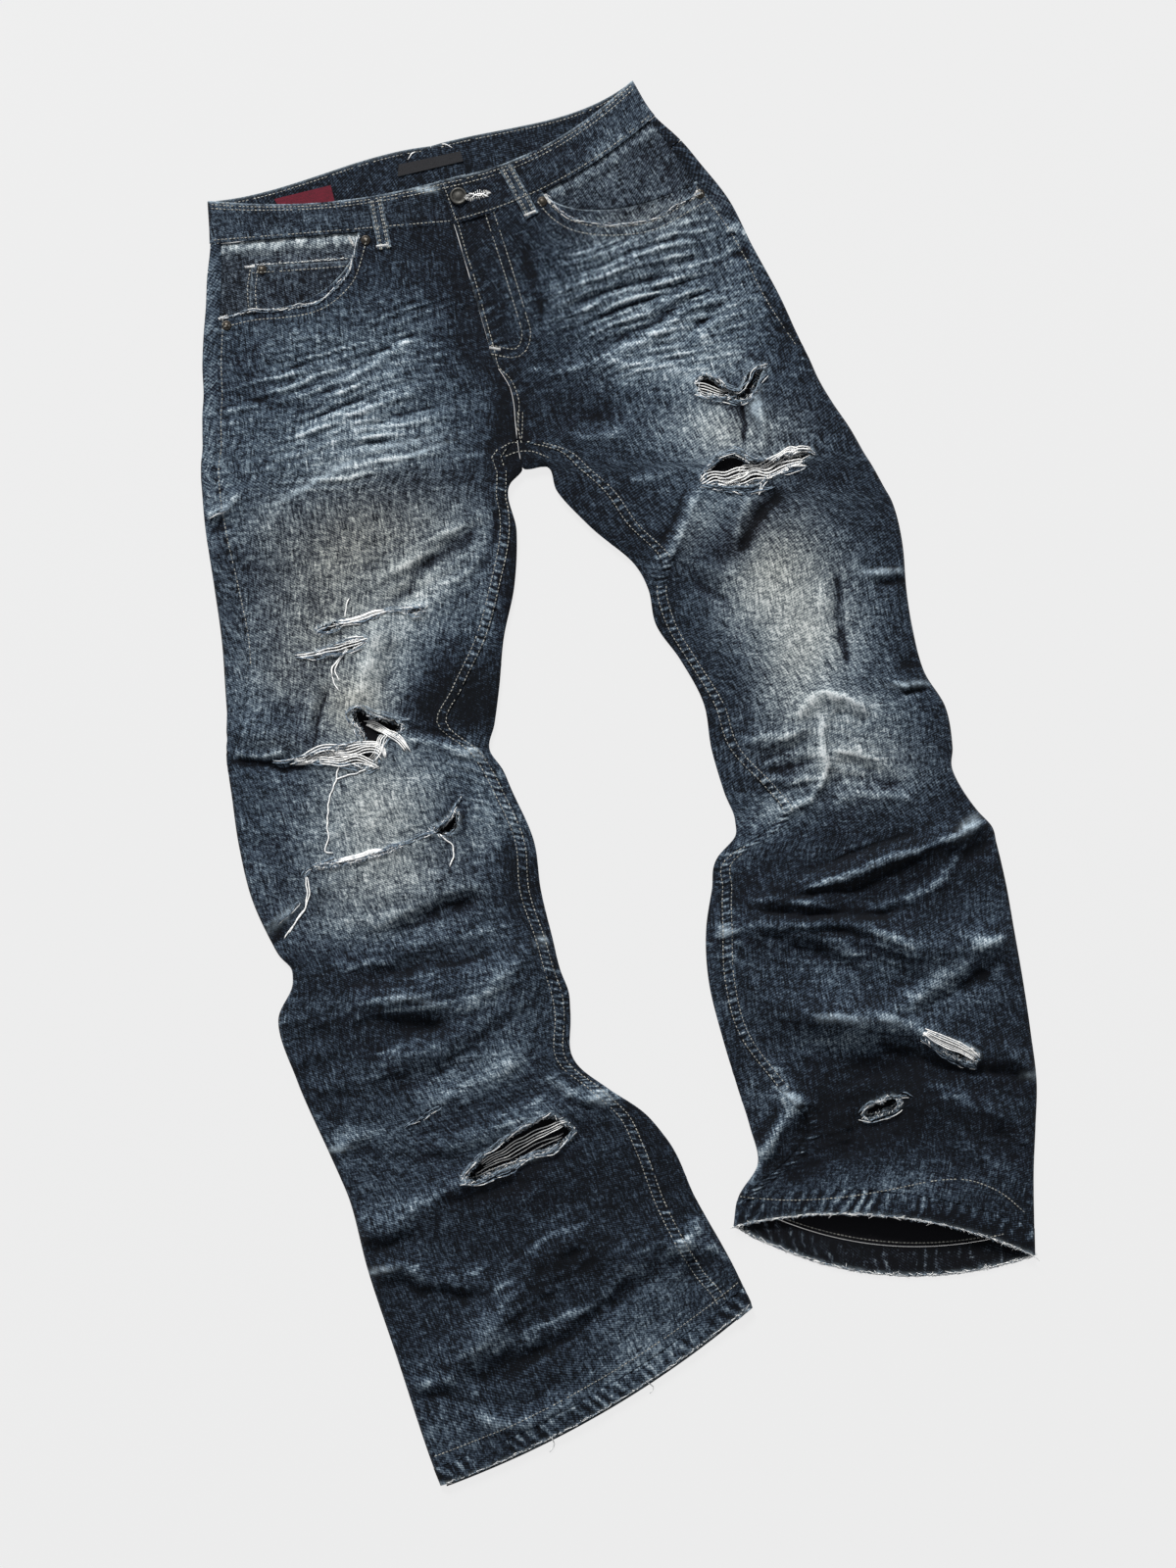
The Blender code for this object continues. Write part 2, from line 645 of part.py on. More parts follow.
def band_back(right, left, name, lay, material):
    """The back strip, from side fold to side fold, its inner face in view above the front."""
    grid = []
    for t in (0.0, 0.5, 1.0):
        row = []
        for leg in (right, left):
            station = leg.stations[0] * (1 - t) - SIDE_SEAM / 2 * t
            level = leg.station("fly end")
            # the yoke's columns but for its last three, at the side fold, which the front strip wraps
            arounds = [around_shift(leg, level, station, around) for around in back_columns(leg, level)[1]]
            arounds[5:] = [2 * leg.width(station) - BAND_WRAP - SEAM - BAND_WALL / 2]
            places = [under(leg, station, around) for around in arounds]
            row += places[::-1] if leg is right else places[1:]
        grid.append(row)
    lift = (BAND_WALL - WALL) / 2
    return cloth(name, [grid], lay, BAND_WALL, material, lift=lift)


# ---- Patches, loops and hardware

def flat_patch(name, outline, height, wall, material):
    """A flat piece whose underside is at a height, from its outline."""
    points = [(x, y, height) for x, y in outline] + [(x, y, height + wall) for x, y in outline]
    count = len(outline)
    faces = [tuple(range(count)), tuple(range(count, 2 * count))]
    faces += [(i, (i + 1) % count, count + (i + 1) % count, count + i) for i in range(count)]
    return build_mesh(name, points, faces, material)


POCKET_WIDTH, POCKET_HEIGHT = 148.0, 158.0
POCKET_POINT, POCKET_TAPER = 18.0, 5.0
POCKET_DROP = 88.0  # from the waist seam to the pocket's mouth
POCKET_IN = 0.54  # of the way in from the side


def back_pocket(leg, side, material):
    """A five-sided patch under the back panel, square to the section that crosses its middle."""
    half, foot = POCKET_WIDTH / 2, POCKET_WIDTH / 2 - POCKET_TAPER
    side_end = POCKET_POINT - POCKET_HEIGHT
    outline = [(-half, 0), (half, 0), (foot, side_end), (0, -POCKET_HEIGHT), (-foot, side_end)]
    x, y = under(leg, POCKET_DROP, (2 - POCKET_IN) * leg.width(POCKET_DROP))[:2]
    outer, inner = leg.ends(POCKET_DROP + POCKET_HEIGHT / 2)
    run = (outer - inner) / hypot(*(inner - outer)) * leg.side
    turned = [(x + u * run[0] - v * run[1], y + u * run[1] + v * run[0]) for u, v in outline]
    return flat_patch(f"back_pocket_{side}", turned, 0.0, WALL, material)


Loop = namedtuple("Loop", "side top_x top_y end_x end_y")
FRONT_LOOPS = [
    Loop("right", -211, 506, -203, 464),
    Loop("left", -98, 534, -75, 492),
]
BACK_LOOPS = [
    Loop("right", -262, 521, -255, 474),
    Loop("centre", -164, 552, -151, 504),
    Loop("left", -62, 572, -38, 529),
]
LOOP_WIDTH, LOOP_WALL = 11.5, 1.2
LOOP_OVER, LOOP_DOWN = 0.72, 0.86  # along a front loop, where it leaves the band and reaches the panel

Label = namedtuple("Label", "name material corners")
LABELS = [
    Label("label_main", "label_black", ((-192, 526.5), (-135, 540), (-137.5, 548.5), (-191, 537))),
    Label("label_size", "label_red", ((-290, 492), (-246, 503), (-250, 519), (-299, 507))),
]
LABEL_WALL = 0.6
PLACKET_CORNERS = ((-139, 480), (-113, 494), (-84, 388), (-107, 362))
PLACKET_DROP = 0.2  # the placket lies this much lower than one ply under the front panel

# (radius, height) from the middle to the rim and back
BUTTON_PROFILE = ((0, 0), (5.0, 0), (7.4, 0.9), (7.4, 1.9), (6.4, 2.6), (4.6, 2.2), (0, 2.2))
RIVET_PROFILE = ((0, 0), (4.2, 0), (4.2, 0.6), (2.4, 1.5), (0, 1.7))
BUTTON_AT = (-139.0, 508.7)
Rivet = namedtuple("Rivet", "name x y")
RIVETS = [
    Rivet("rivet_waist_right", -219.5, 471.0),
    Rivet("rivet_coin", -309.5, 445.5),
    Rivet("rivet_side_right", -340.0, 397.0),
    Rivet("rivet_waist_left", -66.5, 504.5),
    Rivet("rivet_side_left", 70.0, 511.0),
]


def ribbon(name, loop, heights, material):
    """A belt loop: a strip whose height changes along it."""
    start, end = np.array([loop.top_x, loop.top_y]), np.array([loop.end_x, loop.end_y])
    run = (end - start) / hypot(*(end - start))
    across = np.array([-run[1], run[0]]) * LOOP_WIDTH / 2
    points = []
    for share, height in heights:
        middle = start + (end - start) * share
        for side in (-1, 1):
            x, y = middle + across * side
            points.append((x, y, height))
    faces = [(2 * i, 2 * i + 1, 2 * i + 3, 2 * i + 2) for i in range(len(heights) - 1)]
    return thicken(build_mesh(name, points, faces, material), LOOP_WALL)


def turned_piece(name, x, y, base, profile, material, steps):
    """A round piece from its profile of (radius, height), spun about its own axis."""
    work = bmesh.new()
    rim = [work.verts.new((r * MM, 0.0, z * MM)) for r, z in profile]
    edges = [work.edges.new(pair) for pair in zip(rim[:-1], rim[1:])]
    turn = {"cent": (0, 0, 0), "axis": (0, 0, 1), "angle": 2 * np.pi, "steps": steps}
    bmesh.ops.spin(work, geom=rim + edges, **turn)
    bmesh.ops.remove_doubles(work, verts=work.verts, dist=1e-6)
    bmesh.ops.recalc_face_normals(work, faces=work.faces)
    mesh = bpy.data.meshes.new(name)
    work.to_mesh(mesh)
    work.free()
    mesh.materials.append(material)
    mesh.shade_smooth()
    mesh.set_sharp_from_angle(angle=0.6)
    piece = bpy.data.objects.new(name, mesh)
    piece.location = ((x + SHIFT[0]) * MM, (y + SHIFT[1]) * MM, base * MM)
    bpy.context.scene.collection.objects.link(piece)
    return piece


def patch_on(name, outline, lay, lift, wall, material, steps=5):
    """A four-cornered piece that follows the top layer at a distance, from its corners in order."""
    a, b, c, d = [np.array(corner, float) for corner in outline]
    grid = []
    for v in np.linspace(0, 1, steps):
        row = []
        for u in np.linspace(0, 1, steps):
            x, y = (a * (1 - u) + b * u) * (1 - v) + (d * (1 - u) + c * u) * v
            row.append((x, y, True))
        grid.append(row)
    return cloth(name, [grid], lay, wall, material, lift=lift)


def main():
    clear_scene()
    denim = make_material("denim", (0.035, 0.055, 0.095), 0.9)
    inside = make_material("denim_inside", (0.02, 0.026, 0.042), 0.95)
    rivet_metal = make_material("aged_metal", (0.05, 0.045, 0.04), 0.45, 0.9)
    button_metal = make_material("worn_nickel", (0.32, 0.31, 0.29), 0.4, 0.9)
    label_cloth = {
        "label_black": make_material("label_black", (0.012, 0.012, 0.012), 0.85),
        "label_red": make_material("label_red", (0.23, 0.008, 0.02), 0.8),
    }

    right = Leg(RIGHT_LEG, -1, RIGHT_MOUTH)
    left = Leg(LEFT_LEG, 1, LEFT_MOUTH)
    lay = Lay(right, left)
    for leg, side in ((right, "right"), (left, "left")):
        last = leg.station("hem top") - SEAM / 2
        front_panel(leg, f"front_panel_{side}", lay, denim, last)
        back_panel(leg, f"back_panel_{side}", lay, denim, last)
        yoke(leg, f"yoke_{side}", lay, denim)
        pocket_facing(leg, f"pocket_facing_{side}", lay, denim)
        hem_pieces(leg, side, lay, denim)
        band_front(leg, f"waistband_front_{side}", lay, denim)
        back_pocket(leg, side, denim)
    band_back(right, left, "waistband_back", lay, inside)
    patch_on("fly_placket", PLACKET_CORNERS, lay, -PLY_STEP - PLACKET_DROP, WALL, denim)
    coin_pocket(right, lay, denim)

    band_top = HIP_TOP + BAND_LIFT + BAND_WALL / 2
    panel_top = HIP_TOP + WALL / 2
    over, down = [face + REST_GAP + LOOP_WALL / 2 for face in (band_top, panel_top)]
    for loop in FRONT_LOOPS:
        heights = [(0.0, over), (LOOP_OVER, over), (LOOP_DOWN, down), (1.0, down)]
        ribbon(f"loop_front_{loop.side}", loop, heights, denim)
    for loop in BACK_LOOPS:
        ribbon(f"loop_back_{loop.side}", loop, [(0.0, LOOP_WALL / 2), (1.0, LOOP_WALL / 2)], denim)

    band_inside = HIP_BOTTOM - WALL / 2 + BAND_WALL
    for label in LABELS:
        cloth_of = label_cloth[label.material]
        flat_patch(label.name, label.corners, band_inside + REST_GAP, LABEL_WALL, cloth_of)

    button_base = band_top + BUTTON_END_LIFT + REST_GAP
    turned_piece("waist_button", *BUTTON_AT, button_base, BUTTON_PROFILE, button_metal, steps=24)
    for rivet in RIVETS:
        turned_piece(rivet.name, rivet.x, rivet.y, panel_top + REST_GAP, RIVET_PROFILE, rivet_metal, steps=12)


main()
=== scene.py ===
import json
from math import cos, hypot, pi, radians, sin

import bmesh
import bpy
import numpy as np
from mathutils import Matrix, Vector
from mathutils.bvhtree import BVHTree
from mathutils.kdtree import KDTree

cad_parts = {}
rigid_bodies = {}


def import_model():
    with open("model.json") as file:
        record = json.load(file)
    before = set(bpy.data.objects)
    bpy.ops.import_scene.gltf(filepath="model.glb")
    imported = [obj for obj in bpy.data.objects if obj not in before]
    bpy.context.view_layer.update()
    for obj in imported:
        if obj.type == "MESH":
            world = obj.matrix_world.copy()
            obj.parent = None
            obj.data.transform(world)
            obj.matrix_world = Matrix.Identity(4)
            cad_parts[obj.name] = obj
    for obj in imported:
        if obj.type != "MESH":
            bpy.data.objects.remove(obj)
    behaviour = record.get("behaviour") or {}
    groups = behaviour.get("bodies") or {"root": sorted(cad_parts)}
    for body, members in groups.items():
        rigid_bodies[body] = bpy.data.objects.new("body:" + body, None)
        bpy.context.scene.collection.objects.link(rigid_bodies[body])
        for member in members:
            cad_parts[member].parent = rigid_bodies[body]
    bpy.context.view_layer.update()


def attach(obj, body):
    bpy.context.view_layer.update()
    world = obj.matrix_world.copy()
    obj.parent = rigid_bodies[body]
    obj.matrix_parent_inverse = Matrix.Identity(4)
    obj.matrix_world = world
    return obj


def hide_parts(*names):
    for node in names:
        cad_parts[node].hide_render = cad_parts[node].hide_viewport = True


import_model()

# Ripped jeans laid flat, front up, waist towards +Y. The tables and sizes are in millimetres,
# and the same ones shape the solids. mm turns them into metres when a mesh is made.
mm = 0.001
shift = np.array([0.0, -0.13])

# camera, straight above the garment
view = {"place": (-0.0268, -0.0005, 3.216), "lens": 85.0, "sensor": 36.0}


def addObject(name, data):
    made = bpy.data.objects.new(name, data)
    bpy.context.scene.collection.objects.link(made)
    return made


camera = addObject("camera", bpy.data.cameras.new("camera"))
camera.data.lens = view["lens"]
camera.data.sensor_width = view["sensor"]
camera.location = view["place"]
bpy.context.scene.camera = camera

# the two legs: outer and inner point of each section, how far in the side seam and the inseam lie
# (beneath where negative), how far the front and back bow up the leg, and the rise of the back's inner end

rightSections = [
    ("band top", -356, 505, -156, 522, 9, 0, -10, -1, 32),
    ("waist", -354, 468, -143, 485, 9, 0, 0, -2, 34),
    ("pocket", -357, 437, -132, 448, 12, 0, 0, 0, 27),
    ("hip 1", -358, 413, -124.5, 422, 12, 0, 0, 0, 21),
    ("hip 2", -360, 388, -116, 393, 13, 0, 0, 0, 14),
    ("hip 3", -361, 362, -109, 368, 13, 0, 0, 0, 8),
    ("fly end", -360, 335, -94, 342, 13, 0, 0, 0, 3),
    ("seat", -361, 320, -91, 328, 13, 0, 0, 0, 1),
    ("rise", -361, 305, -90, 315, 13),
    ("crotch point", -361, 288, -88, 297, 13, 2),
    ("fork", -362, 277, -86, 284, 12, 14),
    ("arch", -362, 265, -84, 271.8, 12, 12),
    ("crotch", -361, 252, -94, 261, 12, 2),
    ("thigh 1", -358, 214, -89, 219, 15, 4),
    ("thigh 2", -351, 170, -91, 171, 18, 11),
    ("thigh 3", -344, 123, -100, 127, 20, 14),
    ("thigh 4", -341, 74, -104, 83, 18, 31),
    ("above knee", -340, 44, -108, 52, 12, 39),
    ("knee pinch", -340, 19, -112, 28, 4, 7),
    ("knee side", -338, 6, -101, 12, 0, 7),
    ("knee", -336, -7, -94, -4, -4, 6),
    ("below knee", -329, -55, -74, -50, -4, 6),
    ("calf 1", -318, -100, -68, -92, -4, 8),
    ("calf 2", -295, -149, -57, -138, -4, 4),
    ("calf notch", -283, -171, -52, -160, -4, 3),
    ("calf 3", -295, -205, -43, -197, -5, 3),
    ("calf 4", -279, -257, -41, -236, -5, 4),
    ("shin pinch", -251, -320, -8, -266, -5, 3),
    ("shin top", -242, -340, 22, -286, -5, 11),
    ("shin 1", -234, -359, 41, -308, -5, 19),
    ("shin 2", -217, -423, 66, -359, -5, 24, -2, -2),
    ("ankle", -193, -495, 93, -407, -5, 24, -7, -7),
    ("hem top", -160, -594, 108, -437, -5, 17, -14, -14),
    ("hem", -154, -609, 115, -452, -5, 17, -14, -14),
]
leftSections = [
    ("band top", 11, 609, -156, 522, 5, 0, -15, -9, 32),
    ("waist", 30, 578, -143, 485, 5, 0, -12, -6, 34),
    ("pocket", 65, 543, -132, 448, 12, 0, -8, -5, 27),
    ("hip 1", 94, 508, -124.5, 422, 12, 0, -4, -2, 21),
    ("hip 2", 115, 467, -116, 393, 7, 0, -2, 0, 14),
    ("hip 3", 139, 423, -109, 368, 9, 0, 0, 0, 8),
    ("fly end", 155, 388, -94, 342, 3, 0, 0, 0, 3),
    ("seat", 164, 370, -91, 328, 0, 0, 0, 0, 1),
    ("rise", 172, 352, -90, 315, -3),
    ("crotch point", 185, 330, -88, 297, -5, 3),
    ("fork", 200, 308, -86, 284, -5, 34),
    ("arch", 212, 287, -81.8, 272.5, -5, 44),
    ("crotch top", 219, 276, -62, 271, -5, 28),
    ("crotch", 229, 258, -54, 254, -5, 39),
    ("thigh 1", 237, 243, -27, 225, -5, 31),
    ("thigh 2", 246, 204, 14, 190, -5, 22),
    ("thigh notch", 249, 168, 26, 168, -5, 5),
    ("thigh 3", 254, 136, 32, 139, -5, 7),
    ("thigh 4", 264, 98, 54, 107, -5, 4),
    ("knee 1", 283, 66, 74, 69, -5, 7),
    ("knee 2", 289, 32, 81, 28, -5, 15),
    ("knee 3", 289, 12, 91, -6, -5, 34),
    ("knee fold", 311, -24, 101, -33, -5, 37),
    ("fold lip", 323, -37, 101, -46, -5, 22),
    ("fold", 327, -51, 86, -64, -5, 7),
    ("calf 1", 335, -85, 81, -92, -5, 7),
    ("calf 2", 342, -124, 76, -126, -5, 12),
    ("calf 3", 350, -170, 78, -170, -5, 12),
    ("calf 4", 357, -217, 90, -220, -5, 14),
    ("shin 1", 362, -259, 102, -260, -5, 32),
    ("shin 2", 361, -298, 114, -298, -5, 51),
    ("shin 3", 359.5, -335, 121, -328, -5, 26, 8, -9),
    ("hem top", 360, -386, 103, -362, -5, 5, 21, -27),
    ("hem", 360.5, -409.5, 100, -384, -5, 5, 23, -29),
]
# where the cloth stands up full: x, y, reach across and up, height
fullness = [
    (-225, 150, 90, 120, 3), (-190, -10, 80, 60, 4), (-150, -200, 80, 90, 3), (-60, -410, 80, 80, 3),
    (130, 220, 80, 110, 3), (185, 60, 70, 60, 3), (215, -140, 90, 80, 4), (240, -390, 78, 75, 12),
]
# the main folds: width, height and the line each runs along, as x, y, x, y and on
mainFolds = [
    # right leg, downwards
    (18, 5, -207, 139, -219, 108, -229, 65),
    (16, 5, -330, 44, -285, 38, -262, 30),
    (12, -2, -340, 28, -303, 27, -279, 17),
    (18, 4, -225, -104, -160, -88, -110, -82),
    (18, 7, -68, -141, -104, -160, -151, -176, -203, -192, -247, -181),
    (16, 6, -187, -243, -137, -225, -99, -199, -73, -165),
    (16, 7, -152, -311, -111, -300, -50, -284, -13, -273),
    (18, 6, -234, -381, -193, -384, -135, -355, -61, -346),
    (16, 5, -215, -424, -184, -418, -158, -431, -111, -442),
    (18, 8, 68, -396, 35, -396, -52, -408, -82, -446, -140, -498),
    # left leg, downwards
    (18, 3, -58, 425, 0, 447, 68, 470),
    (18, 5, 73, 257, 62, 224, 45, 193),
    (18, 4, 150, 66, 181, 80, 219, 64),
    (16, 8, 300, -41, 228, -71, 178, -90, 120, -98),
    (18, 9, 98, -125, 155, -118, 223, -128, 264, -144, 335, -137),
    (16, 7, 98, -155, 125, -183, 200, -201, 250, -186),
    (18, 10, 143, -204, 200, -206, 260, -215, 287, -230, 345, -242),
    (16, 5, 250, -272, 300, -282, 344, -292),
    (16, 7, 166, -265, 139, -296, 121, -315, 108, -350),
]
# small moves of the outline: x, y, how far across and up, reach
nudges = [
    (-62, 274, 0, 4, 14), (48, 562, 2, 1.5, 25), (-289, -160, 4, 0, 9), (-43, -179, 3, 0, 14),
]

# the holes, each as its outline
rightRips = [
    (-262, 133, -248, 139, -242, 138, -250, 133, -258, 129),  # upper thigh slit
    (-185, 150.5, -177, 152.5, -170, 153, -170, 149, -178, 147, -184, 148),  # upper thigh slit end
    (-262, 113, -250, 118, -236, 122, -221, 126, -219, 122, -236, 116, -250, 112),  # lower thigh slit
    # knee hole
    (-231, 64, -226, 66, -220, 63, -213, 58, -197, 56, -188, 50, -193, 43, -203, 42, -208, 33, -210, 23, -219, 14,
     -239, 17, -252, 20, -266, 20, -280, 19, -264, 26, -244, 30, -230, 32, -222, 34, -224, 44, -230, 55),
    (-163, -42, -154, -36, -146, -28, -142, -22, -139, -30, -142, -40, -150, -45),  # long slit end
    (-262, -72, -245, -69, -226, -65, -205, -59, -190, -53, -191, -55, -206, -61, -228, -67, -246, -71),  # long slit
    (-135, -340, -111, -317, -82, -298, -58, -288, -40, -302, -58, -317, -93, -331, -129, -345),  # shin hole
]
leftRips = [
    # upper thigh tear
    (66, 349, 74, 354, 84, 351, 92, 344, 104, 340, 109, 348, 114, 357, 126, 362,
     122, 352, 117, 340, 108, 332, 94, 335, 72, 337),
    # lower thigh tear
    (74, 267, 84, 281, 100, 286, 114, 279, 128, 280, 143, 284, 160, 288, 168, 287,
     160, 280, 143, 271, 126, 263, 109, 258, 90, 259, 75, 261),
    (265, -216, 288, -223, 309, -232, 308, -241, 294, -238, 280, -231, 267, -222),  # shin tear
    (213, -288, 214, -281, 226, -275, 237, -271, 243, -275, 240, -281, 228, -286, 216, -290),  # ankle tear
]

# the finer creases: height, spread on the left and right hand of the line, and the line
rightCreases = [
    # hip
    (1.2, 6, 4, -290, 396, -272, 390, -252, 386, -238, 384),
    (-1.6, 5, 6, -314, 363, -289, 364, -268, 364, -244, 372),
    (1.2, 5, 4, -295, 357, -272, 359, -239, 363),
    (1.9, 7, 5, -248, 338, -238, 344, -219, 360, -204, 369, -186, 378, -163, 396),
    (-2.2, 5, 6, -238, 353, -222, 365, -204, 376, -184, 385, -147, 386),
    (1.3, 7, 5, -266, 319, -256, 324, -227, 342, -198, 351, -176, 352),
    (-1.8, 6, 5, -340, 338, -301, 329, -280, 324, -254, 322),
    (-2.4, 5, 5, -282, 308, -262, 318, -245, 327, -223, 333, -202, 333),
    (1.4, 6, 6, -285, 301, -266, 307, -244, 319, -221, 325, -187, 338, -154, 347),
    (-2.4, 5, 6, -217, 308, -193, 318, -167, 326, -146, 331),
    (1.2, 6, 5, -238, 295, -207, 302, -176, 314, -137, 323),
    (-1.8, 5, 5, -248, 287, -232, 291, -213, 297, -193, 295),
    (1.6, 5, 16, -314, 214, -311, 222, -304, 235, -290, 249, -271, 258, -245, 267, -215, 275, -188, 282, -170, 288, -153, 300),
    # thigh
    (2.6, 5, 4, -359, 229, -351, 233, -340, 239, -328, 255),
    (-2.4, 5, 8, -356, 216, -343, 224, -333, 221),
    (-1.6, 6, 8, -348, 204, -333, 199, -314, 178),
    (1.5, 14, 10, -238, 163, -204, 183, -176, 197, -145, 216, -120, 238),
    (-3, 9, 12, -207, 144, -188, 164, -167, 187, -144, 204, -105, 234),
    (1.4, 10, 12, -190, 136, -163, 159, -137, 176, -112, 207),
    (-2.4, 8, 10, -102, 250, -107, 216, -124, 170),
    (1.8, 14, 8, -205, 148, -211, 129, -218, 112, -223, 88, -228, 64),
    (-1.8, 10, 10, -193, 123, -200, 93, -207, 71),
    (-3, 4, 6, -250, 86, -255, 66, -261, 46, -264, 29),
    (1.8, 6, 8, -263, 80, -267, 57, -272, 37),
    # knee
    (2.2, 5, 5, -193, 40, -163, 36, -137, 29, -115, 25),
    (-2, 6, 6, -187, 47, -156, 44, -129, 36),
    (3, 4, 5, -340, 28, -328, 24, -312, 23, -295, 27, -282, 27),
    (-4.5, 4, 7, -338, 17, -318, 18, -301, 18, -290, 12, -266, 19),
    (-2, 6, 6, -323, -29, -309, -27, -295, -25),
    (-1.6, 8, 8, -324, -58, -311, -56, -300, -62),
    # calf
    (3, 5, 5, -309, -128, -299, -121, -289, -113, -278, -104),
    (-4, 5, 7, -304, -142, -294, -126, -289, -123),
    (-4.2, 8, 10, -198, -134, -171, -119, -150, -110, -130, -103, -112, -101),
    (2.4, 9, 9, -238, -116, -205, -119, -180, -109, -150, -96, -108, -85),
    (-3.4, 8, 9, -249, -179, -215, -170, -176, -158, -139, -153, -105, -143, -81, -128),
    (2.6, 9, 8, -256, -162, -221, -158, -184, -147, -154, -136, -95, -126),
    (4.2, 10, 9, -66, -138, -74, -145, -96, -162, -122, -184, -150, -192, -182, -184, -214, -186, -244, -179),
    (-3.6, 9, 9, -227, -201, -197, -204, -163, -210, -130, -204, -102, -181, -81, -162),
    (3, 10, 9, -238, -254, -198, -240, -171, -232, -139, -211, -112, -192, -88, -179),
    (-3.4, 9, 9, -221, -266, -188, -259, -154, -245, -125, -226, -98, -204, -78, -187),
    (3.2, 9, 9, -190, -294, -171, -281, -139, -267, -107, -252, -86, -230, -76, -208),
    (1.8, 5, 5, -293, -213, -282, -207, -266, -203),
    (-2.4, 5, 6, -289, -225, -272, -221, -244, -215),
    (1.6, 5, 5, -284, -238, -265, -233, -244, -229),
    (-2.2, 5, 6, -278, -249, -256, -245, -235, -240),
    (1.6, 5, 5, -270, -267, -252, -264, -232, -259),
    (-2, 6, 6, -263, -281, -244, -276, -226, -271),
    # shin
    (3, 6, 5, -6, -270, -17, -272, -35, -272, -52, -261, -71, -249),
    (-3, 6, 6, -13, -283, -28, -281, -49, -276, -68, -266),
    (3.2, 5, 5, -249, -320, -239, -314, -226, -307, -216, -300),
    (-3.4, 6, 9, -239, -327, -221, -317, -197, -322, -161, -325, -130, -328),
    (2.4, 11, 9, -141, -313, -120, -305, -95, -291, -61, -279, -27, -276),
    (-2.6, 8, 8, -197, -308, -171, -305, -137, -296, -108, -283, -74, -266),
    (3.2, 9, 8, -224, -381, -205, -379, -187, -373, -161, -359, -134, -346, -103, -345),
    (-3.6, 7, 9, -163, -374, -135, -359, -108, -351, -83, -347, -56, -349),
    (2, 5, 6, -222, -393, -198, -388, -180, -379),
    (-2.4, 5, 6, -219, -405, -195, -398, -173, -388),
    # ankle and hem
    (3.2, 17, 12, -158, -519, -137, -504, -113, -478, -96, -451, -78, -425, -44, -400, -15, -385, 16, -379),
    (-4, 10, 12, -88, -456, -67, -425, -31, -403, 0, -389, 24, -386),
    (3.4, 10, 10, 50, -400, 31, -407, 8, -422, -17, -442, -41, -464, -83, -482, -122, -487),
    (-4.6, 9, 8, -144, -514, -108, -514, -62, -489, -27, -468, 7, -444, 34, -422),
    (3.4, 5, 5, -216, -425, -200, -421, -185, -420, -170, -427),
    (-4, 5, 8, -209, -436, -187, -432, -170, -441, -150, -437, -127, -444, -96, -444),
    (2, 7, 7, -185, -422, -163, -429, -137, -434, -108, -432),
    (3.6, 5, 5, -183, -522, -170, -520, -154, -517, -144, -509),
    (-4.4, 5, 8, -176, -531, -159, -527, -144, -531, -119, -551),
    (3.8, 7, 7, -144, -532, -127, -546, -103, -555, -78, -553, -54, -541, -27, -531),
    (-2.6, 6, 6, -112, -536, -86, -539, -61, -527, -35, -514),
    (3.4, 5, 5, 41, -402, 56, -399, 72, -396),
    (2.4, 4, 4, 56, -402, 56, -417, 52, -434),
    (2.2, 4, 4, 74, -397, 87, -405, 101, -419),
    (1.8, 4, 4, 72, -393, 70, -383, 74, -371),
    (-3.2, 5, 5, 63, -408, 63, -425, 68, -441),
]
